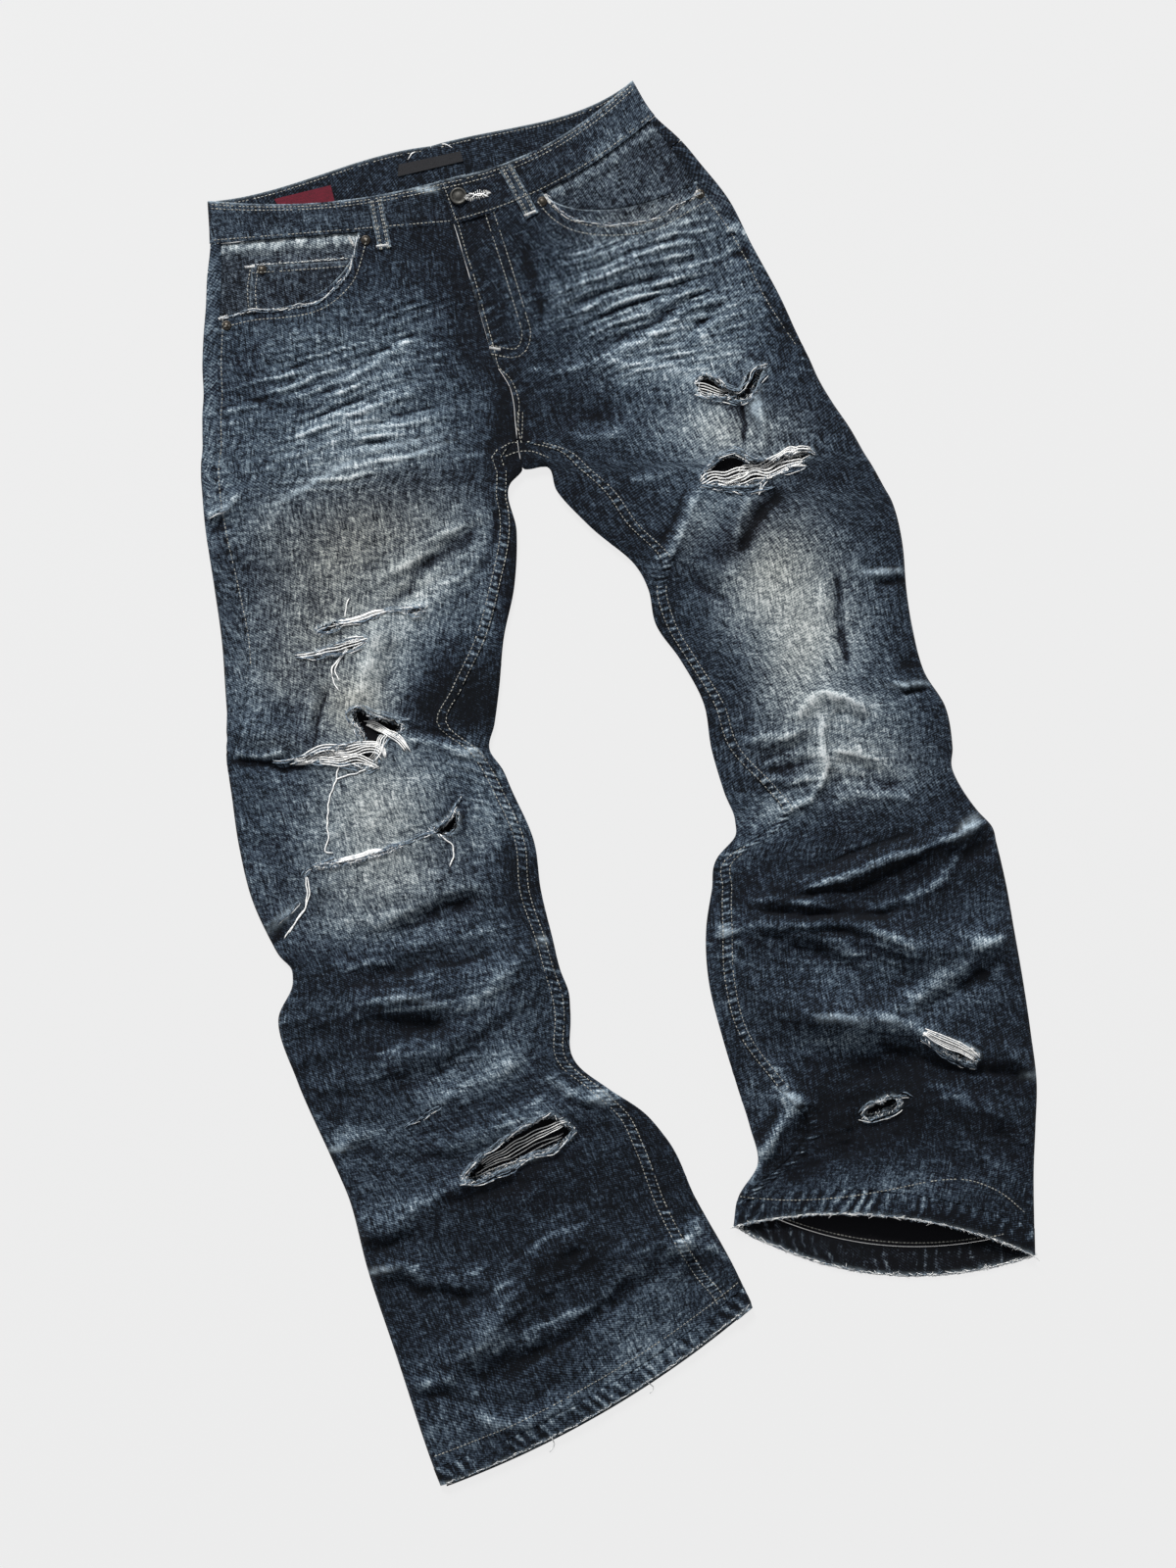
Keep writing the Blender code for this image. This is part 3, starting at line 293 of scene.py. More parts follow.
leftCreases = [
    # hip
    (1.4, 7, 5, -40, 455, -10, 459, 22, 469, 50, 479, 79, 491),
    (-1.2, 4, 5, -56, 435, -21, 448, 10, 461, 43, 471, 74, 484),
    (1.3, 6, 4, -52, 425, -27, 435, 4, 448, 34, 462, 68, 472),
    (-1.4, 4, 5, -57, 409, -27, 420, 18, 436, 53, 451, 82, 463),
    (1.3, 5, 4, -51, 401, -17, 414, 20, 427, 58, 443, 94, 457),
    (-1.3, 4, 5, -49, 392, -18, 403, 16, 418, 50, 431, 82, 447),
    (1.4, 6, 5, -39, 380, -8, 394, 24, 408, 56, 423, 90, 436),
    (-2.6, 4, 6, -25, 372, 10, 390, 40, 405, 62, 420, 90, 431),
    (1.9, 7, 4, -8, 369, 27, 388, 57, 407, 85, 420, 106, 428),
    (-2.4, 4, 5, 53, 386, 73, 401, 94, 414),
    (1.3, 6, 5, 62, 380, 84, 397, 108, 412),
    (1.6, 4, 9, -96, 363, -78, 359, -57, 358, -29, 363, -8, 368, 10, 364, 40, 361, 68, 357),
    (-2.6, 10, 10, -85, 476, -71, 425, -68, 386),
    (3, 5, 5, 90, 488, 101, 479, 109, 476, 116, 472),
    (-3.6, 5, 7, 97, 457, 108, 462, 116, 460),
    (-2.6, 5, 7, 131, 392, 143, 396, 153, 394),
    # crotch and thigh
    (1.6, 10, 8, -45, 293, -18, 301, 11, 306),
    (1.6, 9, 8, 4, 261, 24, 263, 50, 273),
    (-1.8, 12, 12, -61, 314, -27, 319, 7, 323),
    (-3.4, 4, 5, 104, 333, 107, 318, 109, 301, 110, 287),
    (2, 5, 6, 119, 333, 122, 314, 125, 284),
    (2.4, 6, 14, 75, 261, 68, 250, 60, 232, 50, 207, 40, 187, 31, 173),
    (-2.6, 8, 5, 63, 267, 55, 248, 45, 224, 29, 195),
    (2.4, 8, 8, 118, 251, 108, 229, 97, 202),
    (-3.4, 10, 9, 143, 256, 124, 231, 111, 210, 96, 193),
    (1.2, 7, 7, 58, 199, 72, 188, 89, 182, 114, 185),
    (-2.2, 8, 8, 63, 176, 80, 166, 99, 159),
    (-3.6, 9, 5, 186, 191, 188, 170, 192, 144, 196, 117, 199, 90),
    (1, 9, 12, 176, 178, 179, 144, 184, 112, 182, 93),
    # knee sides
    (2.6, 4, 5, 211, 182, 225, 184, 237, 184, 250, 186),
    (-3, 5, 5, 221, 175, 235, 176, 252, 176),
    (2.8, 4, 5, 233, 93, 240, 88, 249, 84, 259, 86, 271, 86),
    (-3.4, 5, 5, 244, 78, 257, 80, 272, 80),
    (-2.4, 8, 8, 240, 108, 254, 103, 267, 108),
    # knee
    (3, 6, 9, 150, 52, 160, 66, 170, 77, 182, 81, 198, 74, 221, 59),
    (-1.8, 9, 8, 184, 64, 200, 60, 216, 48),
    (3.4, 5, 9, 186, 66, 177, 54, 176, 37, 179, 20, 180, 6, 168, -11, 151, -22, 133, -34),
    (2.6, 8, 7, 102, 32, 126, 39, 150, 44, 172, 54),
    (-2.4, 6, 7, 118, 20, 143, 30, 170, 37),
    (2.4, 7, 6, 114, 3, 143, 3, 174, 8),
    (-3, 6, 6, 126, 12, 148, 13, 174, 20),
    (2, 7, 7, 181, 27, 194, 28, 206, 28, 218, 23, 232, 15),
    (-2.2, 8, 7, 187, 13, 206, 17, 228, 6),
    (-2.4, 9, 9, 176, -7, 186, 0, 203, 4, 230, 2, 255, -6),
    (2.6, 8, 8, 182, -19, 204, -9, 232, -9, 262, -17),
    # calf
    (4.4, 5, 6, 323, -31, 313, -35, 300, -41, 279, -50),
    (4.6, 6, 7, 300, -42, 279, -49, 259, -57, 237, -67, 215, -75, 186, -85, 147, -90),
    (-4.8, 7, 5, 135, -96, 160, -96, 186, -93, 215, -86, 247, -72, 275, -51),
    (-3.2, 6, 6, 142, -80, 174, -72, 204, -63, 237, -50, 271, -36),
    (3, 7, 7, 300, -48, 293, -65, 283, -80, 261, -93, 230, -106, 192, -108),
    (3.2, 5, 6, 111, -104, 126, -101, 143, -100, 162, -101, 182, -104),
    (-4.4, 6, 5, 108, -111, 135, -111, 169, -112, 203, -114, 232, -113, 254, -104),
    (-3.2, 8, 8, 296, -68, 313, -56, 327, -50),
    (4, 5, 5, 84, -128, 96, -128, 108, -126),
    (4, 5, 7, 106, -127, 123, -125, 145, -124, 180, -121, 203, -122, 222, -126, 250, -139, 275, -145),
    (-3.8, 6, 5, 118, -134, 143, -129, 174, -126, 201, -129, 228, -134),
    (2.4, 7, 7, 143, -130, 160, -132, 176, -136, 194, -146, 216, -153),
    (-2.8, 6, 6, 143, -142, 169, -145, 190, -155, 220, -162),
    (2.6, 4, 5, 101, -132, 108, -142, 117, -153),
    (2.6, 4, 5, 99, -136, 102, -152, 113, -169, 129, -184),
    (-2.4, 6, 6, 113, -162, 123, -174, 143, -181),
    (4.2, 5, 5, 337, -134, 323, -136, 313, -139, 305, -142),
    (2, 4, 4, 315, -138, 306, -131, 298, -128),
    (3.4, 9, 9, 310, -142, 301, -157, 281, -171, 259, -186, 238, -197, 215, -204),
    (-4.2, 8, 7, 320, -150, 313, -164, 294, -181, 272, -194, 254, -204),
    (-2.8, 8, 8, 272, -162, 254, -174, 233, -182, 203, -187),
    # shin and ankle
    (4, 4, 9, 140, -187, 160, -195, 186, -201, 230, -205, 267, -214, 300, -223),
    (-4.8, 9, 5, 215, -225, 237, -228, 271, -240, 305, -250, 322, -252),
    (1.6, 12, 9, 153, -211, 179, -213, 199, -216, 221, -220),
    (3.6, 5, 5, 362, -254, 352, -245, 340, -238, 323, -227),
    (-4.4, 5, 6, 361, -260, 344, -252, 320, -250, 300, -244),
    (2.6, 7, 8, 254, -260, 279, -264, 312, -275, 332, -285, 347, -294),
    (2, 5, 5, 344, -289, 348, -303, 351, -317),
    (-2.8, 8, 8, 323, -298, 339, -312, 347, -332),
    (4, 5, 5, 140, -276, 147, -270, 153, -272, 158, -278),
    (2.2, 5, 6, 148, -266, 141, -254, 126, -242),
    (4, 5, 10, 168, -266, 157, -276, 147, -288, 135, -306, 121, -325, 111, -342, 104, -359),
    (-3.6, 8, 6, 143, -279, 131, -296, 116, -317),
    (-3.6, 10, 8, 196, -298, 215, -300, 241, -294),
    (2, 8, 8, 186, -272, 211, -266, 254, -262),
    (-3, 14, 12, 136, -340, 160, -335, 187, -322, 220, -306),
    (1.8, 4, 7, 254, -276, 266, -283, 280, -293, 303, -313, 323, -332, 335, -356),
    (-2.4, 12, 10, 196, -240, 228, -249, 258, -255),
]

cloth = {
    "wall": 1.2, "bandWall": 2.4, "hemWall": 1.8,
    "hipTop": 6.6, "legTop": 5.0, "hipBottom": 2.1, "legBottom": 0.6, "hipFrom": 170, "hipTo": 228,
    "topRound": 10.0, "bottomRound": 3.0, "least": 2.9,
}
centreWaist, centreUp, backLean = (-143.0, 485.0), (-0.241, 0.970), 0.33
mouths = {"power": 2.3, "right": (128, 68, 13), "left": (116, 58, 13)}  # reach, drop, end
seamGap, sideGap = 0.5, 0.9


def quarterRound(share):
    return np.sqrt(1 - (1 - np.clip(share, 0, 1)) ** 2)


def smoothStep(value, low, high):
    share = np.clip((value - low) / (high - low), 0, 1)
    return share * share * (3 - 2 * share)


def bell(value, spread):
    return np.exp(-((value / spread) ** 2))


def patchNoise(x, y, size, seed):
    # gradient noise on a seeded lattice, -1 to 1
    turns = np.random.default_rng(seed).random((64, 64)) * 2 * pi
    gx, gy = x / size, y / size
    ix, iy = np.floor(gx).astype(int), np.floor(gy).astype(int)
    fx, fy = gx - ix, gy - iy
    sx, sy = fx**3 * (fx * (6 * fx - 15) + 10), fy**3 * (fy * (6 * fy - 15) + 10)

    def corner(dx, dy):
        turn = turns[(ix + dx) % 64, (iy + dy) % 64]
        return np.cos(turn) * (fx - dx) + np.sin(turn) * (fy - dy)

    low = corner(0, 0) * (1 - sx) + corner(1, 0) * sx
    high = corner(0, 1) * (1 - sx) + corner(1, 1) * sx
    return 1.5 * (low * (1 - sy) + high * sy)


def places(line):
    return np.array(line, float).reshape(-1, 2)


def smoothPath(points, step=4.0):
    # a curve through the points, as a dense line
    pts = places(points)
    ends = np.vstack([2 * pts[0] - pts[1], pts, 2 * pts[-1] - pts[-2]])
    found = []
    for i in range(len(pts) - 1):
        a, b, c, d = ends[i : i + 4]
        count = max(1, int(hypot(*(c - b)) / step))
        t = np.linspace(0, 1, count, endpoint=False)[:, None]
        found.append(0.5 * (2 * b + (c - a) * t + (2 * a - 5 * b + 4 * c - d) * t**2 + (3 * b - a - 3 * c + d) * t**3))
    return np.vstack(found + [pts[-1:]])


def alongPath(plan, path):
    # distance to the path, positive on its left hand, and how far along the nearest place is, in mm
    best, side, along = np.full(len(plan), 1e9), np.zeros(len(plan)), np.zeros(len(plan))
    start = 0.0
    for a, b in zip(path[:-1], path[1:]):
        run, away = b - a, plan - a
        length = max(hypot(*run), 1e-9)
        share = np.clip(away @ run / length**2, 0, 1)
        gap = np.hypot(away[:, 0] - share * run[0], away[:, 1] - share * run[1])
        nearer = gap < best
        best[nearer] = gap[nearer]
        side[nearer] = (run[0] * away[:, 1] - run[1] * away[:, 0])[nearer]
        along[nearer] = (start + share * length)[nearer]
        start += length
    return np.where(side < 0, -best, best), along, start


class Leg:
    # one side of the garment, as a function of the place down the leg and round the section

    def __init__(self, rows, side, mouth):
        self.side, self.mouth = side, mouth
        self.names = [row[0] for row in rows]
        self.values = np.array([list(row[1:]) + [0] * (10 - len(row)) for row in rows], float)
        middles = (self.values[:, 0:2] + self.values[:, 2:4]) / 2
        steps = np.linalg.norm(np.diff(middles, axis=0), axis=1)
        self.stations = np.concatenate([[0.0], np.cumsum(steps)])
        self.stations -= self.stations[self.names.index("waist")]
        slopes = np.diff(self.values, axis=0) / steps[:, None]
        blend = slopes[:-1] * steps[1:, None] + slopes[1:] * steps[:-1, None]
        self.tangents = np.vstack([slopes[:1], blend / (steps[1:] + steps[:-1])[:, None], slopes[-1:]])

    def station(self, name):
        return self.stations[self.names.index(name)]

    def at(self, s):
        i = np.clip(np.searchsorted(self.stations, s) - 1, 0, len(self.stations) - 2)
        step = (self.stations[i + 1] - self.stations[i])[:, None]
        t = (s - self.stations[i])[:, None] / step
        return (
            self.values[i] * (1 - t) ** 2 * (1 + 2 * t)
            + self.values[i + 1] * t * t * (3 - 2 * t)
            + self.tangents[i] * step * t * (1 - t) ** 2
            - self.tangents[i + 1] * step * t * t * (1 - t)
        )

    def ends(self, s):
        values = self.at(s)
        outer, inner = values[:, 0:2], values[:, 2:4]
        gap = np.linalg.norm(inner - outer, axis=1)[:, None]
        return outer, inner + (outer - inner) * (seamGap / 2 / gap), values

    def width(self, s):
        outer, inner, _ = self.ends(s)
        return np.linalg.norm(inner - outer, axis=1)

    def seams(self, s):
        return self.at(s)[:, 4], self.at(s)[:, 5]

    def place(self, s, around, beneath=False):
        # plan and whether it is on top: 0 is the outer edge, then over the top to the inner one, then beneath
        outer, inner, values = self.ends(s)
        width = np.linalg.norm(inner - outer, axis=1)
        around = np.where(around > 2 * width, around - 2 * width, around)
        onTop = (around >= 0) & (around <= width)
        if beneath:
            onTop &= around < width / 2
        along = np.where(around > width, 2 * width - around, np.abs(around))
        share = along / width
        run = (inner - outer) / width[:, None]
        up = np.stack([run[:, 1], -run[:, 0]], axis=1) * self.side
        bow = np.where(onTop, values[:, 6], values[:, 7])
        plan = outer + run * along[:, None] + up * (bow * 4 * share * (1 - share))[:, None]
        eased = np.where(onTop, 0.0, share * share * (3 - 2 * share))
        rise = values[:, 8]
        foot = self.values[self.names.index("fly end")][2:4] + np.array(centreUp) * 3
        height = inner[:, 1] + centreUp[1] * rise
        seam = foot[0] - backLean * (height - foot[1]) - inner[:, 0] + self.side * seamGap / 2
        lean = np.where(s >= self.station("fly end"), centreUp[0] * rise, seam)
        plan[:, 0] += lean * eased
        plan[:, 1] += centreUp[1] * rise * eased
        return plan, onTop

    def mouthReach(self, s):
        reach, drop, end = self.mouth
        share = np.clip(s / drop, 0, 1)
        return end + (reach - end) * (1 - share ** mouths["power"]) ** (1 / mouths["power"])


right = Leg(rightSections, -1, mouths["right"])
left = Leg(leftSections, 1, mouths["left"])
legs = {"right": right, "left": left}


def edgeTree():
    # the side edges as one dense line each, to find how near a place is to one
    lines = []
    for leg in (right, left):
        for inner, first in ((0, leg.stations[0]), (1, leg.station("arch"))):
            s = np.arange(first, leg.stations[-1] + 2, 2.0)
            lines.append(leg.ends(np.minimum(s, leg.stations[-1]))[inner])
    points = np.vstack(lines)
    joins = np.cumsum([len(line) for line in lines])
    tree = KDTree(len(points))
    for i, (x, y) in enumerate(points):
        tree.insert((x, y, 0), i)
    tree.balance()
    return tree, points, set(joins)


edges, edgePoints, edgeJoins = edgeTree()
joined = np.array([i in edgeJoins for i in range(len(edgePoints) + 1)])


def edgeGap(plan):
    near = np.array([edges.find((x, y, 0))[1] for x, y in plan])
    best = np.linalg.norm(plan - edgePoints[near], axis=1)
    for first in (near - 1, near):
        real = (first >= 0) & (first + 1 < len(edgePoints)) & ~joined[np.clip(first + 1, 0, len(edgePoints))]
        a, b = edgePoints[np.clip(first, 0, None)], edgePoints[np.clip(first + 1, 0, len(edgePoints) - 1)]
        run = b - a
        length = np.maximum((run**2).sum(axis=1), 1e-9)
        share = np.clip(((plan - a) * run).sum(axis=1) / length, 0, 1)
        gap = np.linalg.norm(plan - a - run * share[:, None], axis=1)
        best = np.where(real & (gap < best), gap, best)
    return best


def turned(plan, x, y, turn):
    # how far along and across a line that runs through x, y at turn degrees
    c, s = cos(radians(turn)), sin(radians(turn))
    dx, dy = plan[:, 0] - x, plan[:, 1] - y
    return dx * c + dy * s, dy * c - dx * s


def oval(plan, x, y, reachX, reachY, turn=0):
    # 1 at x, y and less with distance, in an oval
    along, across = turned(plan, x, y, turn)
    return np.exp(-((along / reachX) ** 2) - (across / reachY) ** 2)


def relief(plan):
    total = sum(height * oval(plan, *spot) for *spot, height in fullness)
    for width, height, *line in mainFolds:
        gap, along, length = alongPath(plan, places(line))
        share = along / length
        taper = quarterRound(np.minimum(share, 1 - share) * 4 + 0.15)
        total += height * taper * bell(gap, width)
    return total


def heights(plan, onTop, extra=0.0):
    # the middle of the cloth, and extra is what the finer creases add to the top layer
    away = edgeGap(plan)
    hip = smoothStep(plan[:, 1], cloth["hipFrom"], cloth["hipTo"])
    flatTop = cloth["legTop"] + (cloth["hipTop"] - cloth["legTop"]) * hip
    bottom = cloth["legBottom"] + (cloth["hipBottom"] - cloth["legBottom"]) * hip
    edge = (flatTop + bottom) / 2
    top = flatTop + relief(plan) + extra
    least = bottom + cloth["least"] - 0.8
    top = least + np.logaddexp(0, (top - least) * 1.2) / 1.2  # never through the layer beneath
    topZ = edge + (top - edge) * quarterRound(away / cloth["topRound"])
    bottomZ = edge - (edge - bottom) * quarterRound(away / cloth["bottomRound"])
    return np.where(onTop, topZ, bottomZ)


def nudged(plan):
    moved = plan.copy()
    for x, y, moveX, moveY, reach in nudges:
        moved += bell(np.hypot(plan[:, 0] - x, plan[:, 1] - y), reach)[:, None] * np.array([moveX, moveY])
    return moved

# finishes
def node(tree, kind, inputs=(), **settings):
    made = tree.nodes.new(kind)
    for key, value in settings.items():
        setattr(made, key, value)
    for key, value in dict(inputs).items():
        if isinstance(value, bpy.types.NodeSocket):
            tree.links.new(value, made.inputs[key])
        else:
            made.inputs[key].default_value = value
    return made


def math(tree, operation, a, b=0.0, c=0.0, clamp=False):
    return node(tree, "ShaderNodeMath", {0: a, 1: b, 2: c}, operation=operation, use_clamp=clamp).outputs[0]


def mapRange(tree, value, low, high, toLow=0.0, toHigh=1.0):
    inputs = {"Value": value, "From Min": low, "From Max": high, "To Min": toLow, "To Max": toHigh}
    return node(tree, "ShaderNodeMapRange", inputs, interpolation_type="SMOOTHSTEP").outputs["Result"]


def mixColor(tree, factor, a, b):
    return node(tree, "ShaderNodeMix", {0: factor, 6: a, 7: b}, data_type="RGBA").outputs[2]


def ramp(tree, value, stops):
    made, stops = node(tree, "ShaderNodeValToRGB", {"Fac": value}), list(stops)
    band = made.color_ramp
    while len(band.elements) < len(stops):
        band.elements.new(0.5)
    for element, (place, color) in zip(band.elements, stops):
        element.position, element.color = place, linear(*color)
    return made.outputs["Color"]


def linear(r, g, b):
    # a screen colour, 0 to 255, as the linear colour that a shader takes
    return (*(c / 255 / 12.92 if c < 11 else ((c / 255 + 0.055) / 1.055) ** 2.4 for c in (r, g, b)), 1.0)


def group(name, inputs, outputs):
    tree = bpy.data.node_groups.new(name, "ShaderNodeTree")
    for socket, kind in inputs:
        tree.interface.new_socket(socket, in_out="INPUT", socket_type=kind)
    for socket, kind in outputs:
        tree.interface.new_socket(socket, in_out="OUTPUT", socket_type=kind)
    return tree, tree.nodes.new("NodeGroupInput"), tree.nodes.new("NodeGroupOutput")


def bump(tree, surface, height, strength, distance):
    inputs = {"Strength": strength, "Distance": distance, "Height": height}
    tree.links.new(node(tree, "ShaderNodeBump", inputs).outputs[0], surface.inputs["Normal"])


def mottle(tree, scale, detail):
    inputs = {"Vector": node(tree, "ShaderNodeTexCoord").outputs["Object"], "Scale": scale, "Detail": detail}
    return node(tree, "ShaderNodeTexNoise", inputs).outputs["Fac"]


def scaled(tree, vector, across, along):
    # the place on the cloth, counted in steps of across and along millimetres
    made = node(tree, "ShaderNodeMapping", {"Vector": vector, "Scale": (1000 / across, 1000 / along, 1)})
    return node(tree, "ShaderNodeSeparateXYZ", {0: made.outputs[0]}).outputs


def streaks(tree, vector, across, along):
    # noise drawn out along one thread: across and along are the sizes of a streak in millimetres
    made = node(tree, "ShaderNodeMapping", {"Vector": vector, "Scale": (1000 / across, 1000 / along, 1)})
    inputs = {"Vector": made.outputs[0], "Scale": 1.0, "Detail": 1.0, "Roughness": 0.6}
    return node(tree, "ShaderNodeTexNoise", inputs, noise_dimensions="2D").outputs["Fac"]


def threadShade(tree, vector, across, along, side, run):
    # straight threads side by side, each with its own shade that drifts along it
    both = scaled(tree, vector, *((across, along) if side == "X" else (along, across)))
    line = math(tree, "MULTIPLY", math(tree, "FLOOR", both[side]), 7.31)
    spot = node(tree, "ShaderNodeCombineXYZ", {"X": line, "Y": both[run]}).outputs[0]
    values = {"Vector": spot, "Scale": 1.0, "Detail": 1.0}
    return node(tree, "ShaderNodeTexNoise", values, noise_dimensions="2D").outputs["Fac"]


weaveLook = {
    "cell": 0.38, "dots": 0.40, "pitch": 2.0, "floatSize": (1.1, 1.9),
    "shading": {"warp": 0.64, "weft": 0.56, "slub": 0.32},
}


def weaveGroup():
    # slubby twill: floats of warp in stepped rows, each of its own shade, and uneven warp and weft threads
    tree, given, out = group(
        "denim weave",
        [("Cloth", "NodeSocketVector")],
        [("Thread", "NodeSocketFloat"), ("Streak", "NodeSocketFloat"), ("Height", "NodeSocketFloat")],
    )
    vector = given.outputs["Cloth"]
    both = scaled(tree, vector, *weaveLook["floatSize"])
    column = math(tree, "FLOOR", both["X"])
    step = math(tree, "FLOOR", math(tree, "MULTIPLY_ADD", column, 0.37, both["Y"]))
    cell = node(tree, "ShaderNodeCombineXYZ", {"X": column, "Y": step}).outputs[0]
    float1 = node(tree, "ShaderNodeTexWhiteNoise", {"Vector": cell}, noise_dimensions="2D").outputs["Value"]
    warp = threadShade(tree, vector, 1.4, 13.0, "X", "Y")
    weft = threadShade(tree, vector, 1.5, 9.0, "Y", "X")
    slub = math(tree, "MULTIPLY", threadShade(tree, vector, 2.4, 30.0, "X", "Y"), 0.55)
    slub = math(tree, "MULTIPLY_ADD", threadShade(tree, vector, 2.6, 22.0, "Y", "X"), 0.45, slub)
    streak = 0.0
    for value, depth in zip((warp, weft, slub), weaveLook["shading"].values()):
        streak = math(tree, "ADD", math(tree, "MULTIPLY_ADD", value, depth, -depth / 2), streak)
    wave = scaled(tree, vector, weaveLook["pitch"] / 2 / pi, weaveLook["pitch"] / 2 / pi)
    slant = math(tree, "SINE", math(tree, "MULTIPLY_ADD", wave["X"], 0.5, wave["Y"]))
    dots = math(tree, "MULTIPLY", math(tree, "SINE", wave["X"]), slant)
    dots = math(tree, "MULTIPLY_ADD", math(tree, "MAXIMUM", dots, 0.0), weaveLook["dots"], -weaveLook["dots"] * 0.2)
    thread = math(tree, "MULTIPLY_ADD", float1, weaveLook["cell"], -weaveLook["cell"] / 2)
    thread = math(tree, "ADD", thread, dots)
    height = math(tree, "MULTIPLY_ADD", float1, 0.5, streak)
    for name, value in (("Thread", thread), ("Streak", streak), ("Height", height)):
        tree.links.new(value, out.inputs[name])
    return tree


weave = weaveGroup()
# the cloth's colours from unworn to worn white, where it is blue and where it has gone dusty
levels = (0.00, 0.14, 0.28, 0.42, 0.58, 0.75, 1.00)
indigo = (7, 9, 13), (21, 28, 38), (42, 52, 64), (65, 76, 87), (90, 103, 112), (126, 138, 145), (180, 186, 190)
dusty = (9, 9, 11), (31, 33, 37), (57, 59, 62), (84, 86, 86), (106, 108, 103), (139, 140, 134), (182, 182, 175)
# the ridge paling is partly wear and partly painted highlight; the valley darkening is painted shade
denimLook = {"wearAndHighlight": 0.44, "shadeDarkening": 0.46, "darkest": -0.10, "bump": 0.4, "bumpDistance": 0.0005, "calm": 0.75}


def newMaterial(name, roughness, metallic=0.0, sheen=0.0):
    material = bpy.data.materials.new(name)
    material.use_nodes = True
    surface = material.node_tree.nodes["Principled BSDF"]
    surface.inputs["Roughness"].default_value = roughness
    surface.inputs["Metallic"].default_value = metallic
    surface.inputs["Sheen Weight"].default_value = sheen
    surface.inputs["Sheen Roughness"].default_value = 0.6
    surface.inputs["Specular IOR Level"].default_value = 0.08 if not metallic else 0.5
    return material, material.node_tree, surface


def attribute(tree, name):
    return node(tree, "ShaderNodeAttribute", attribute_name=name).outputs["Fac"]


def denimMaterial(name, inner, offset=0.0):
    # tone, tan, white and the mark of wear and shade come from the mesh, and the weave breaks them up. Above zero that
    # mark makes the cloth paler, partly wear and partly painted highlight; below zero it is painted shade in valleys,
    # grooves and beside seams
    material, tree, surface = newMaterial(name, 0.95, sheen=0.02)
    cloth = node(tree, "ShaderNodeUVMap", uv_map="cloth").outputs[0]
    threads = node(tree, "ShaderNodeGroup", {"Cloth": cloth}, node_tree=weave).outputs
    tone, wear, white = attribute(tree, "tone"), attribute(tree, "wear"), attribute(tree, "white")
    # up: paler ridges, wear and painted highlight. down: painted shade in valleys, grooves and beside seams
    up = math(tree, "MULTIPLY", mapRange(tree, wear, 0.05, 1.6), denimLook["wearAndHighlight"])
    down = math(tree, "MULTIPLY", mapRange(tree, wear, -0.1, -1.6), denimLook["shadeDarkening"])
    wornAndShaded = math(tree, "MAXIMUM", math(tree, "SUBTRACT", math(tree, "ADD", tone, up), down), denimLook["darkest"])
    contrast = mapRange(tree, wornAndShaded, 0.0, 0.45, denimLook["calm"], 1.0)
    level = math(tree, "MULTIPLY_ADD", math(tree, "ADD", threads["Thread"], threads["Streak"]), contrast, wornAndShaded)
    level = math(tree, "ADD", level, offset) if offset else level
    blue, grey = [ramp(tree, level, zip(levels, colors)) for colors in (indigo, dusty)]
    color = mixColor(tree, attribute(tree, "tan"), blue, grey)
    bare = math(tree, "MULTIPLY", white, math(tree, "MULTIPLY_ADD", threads["Thread"], 1.1, 0.8), clamp=True)
    color = mixColor(tree, bare, color, linear(160, 174, 183))
    # painted shade: faces seen from behind, the cloth's inside, take the dark inner colour
    back = node(tree, "ShaderNodeNewGeometry").outputs["Backfacing"]
    color = mixColor(tree, back, color, linear(*inner))
    tree.links.new(color, surface.inputs["Base Color"])
    bump(tree, surface, threads["Height"], denimLook["bump"], denimLook["bumpDistance"])
    return material


denim = denimMaterial("denim", inner=(16, 16, 19))
denimInside = denimMaterial("denim_back", inner=(19, 21, 25), offset=-0.06)
bandInside = denimMaterial("denim_inside", inner=(24, 29, 40), offset=0.02)
# the hems' inner face, darkened as painted shade inside the hem's mouth
hemInsideShaded = denimMaterial("hem_inside", inner=(14, 14, 16), offset=-0.16)


def threadMaterial(name, color, shade):
    # cotton thread, uneven along its length
    material, tree, surface = newMaterial(name, 0.85, sheen=0.1)
    tree.links.new(ramp(tree, mottle(tree, 420.0, 2.0), [(0.3, shade), (0.7, color)]), surface.inputs["Base Color"])
    return material


paleThread = threadMaterial("pale_thread", (244, 242, 237), (182, 184, 186))
stitchThread = threadMaterial("stitch_thread", (166, 164, 154), (80, 82, 82))
blueThread = threadMaterial("blue_thread", (134, 149, 162), (42, 56, 71))


def labelMaterial(name, color, shade):
    # a bare woven tape
    material, tree, surface = newMaterial(name, 0.8, sheen=0.15)
    cloth = node(tree, "ShaderNodeUVMap", uv_map="cloth").outputs[0]
    weft, warp = streaks(tree, cloth, 9.0, 0.5), streaks(tree, cloth, 0.6, 4.0)
    both = math(tree, "MULTIPLY_ADD", weft, 0.5, math(tree, "MULTIPLY", warp, 0.5))
    tree.links.new(ramp(tree, both, [(0.35, shade), (0.65, color)]), surface.inputs["Base Color"])
    bump(tree, surface, both, 0.4, 0.0003)
    return material


labelBlack = labelMaterial("label_black", (31, 31, 34), (17, 17, 19))
labelRed = labelMaterial("label_red", (89, 10, 29), (56, 6, 19))


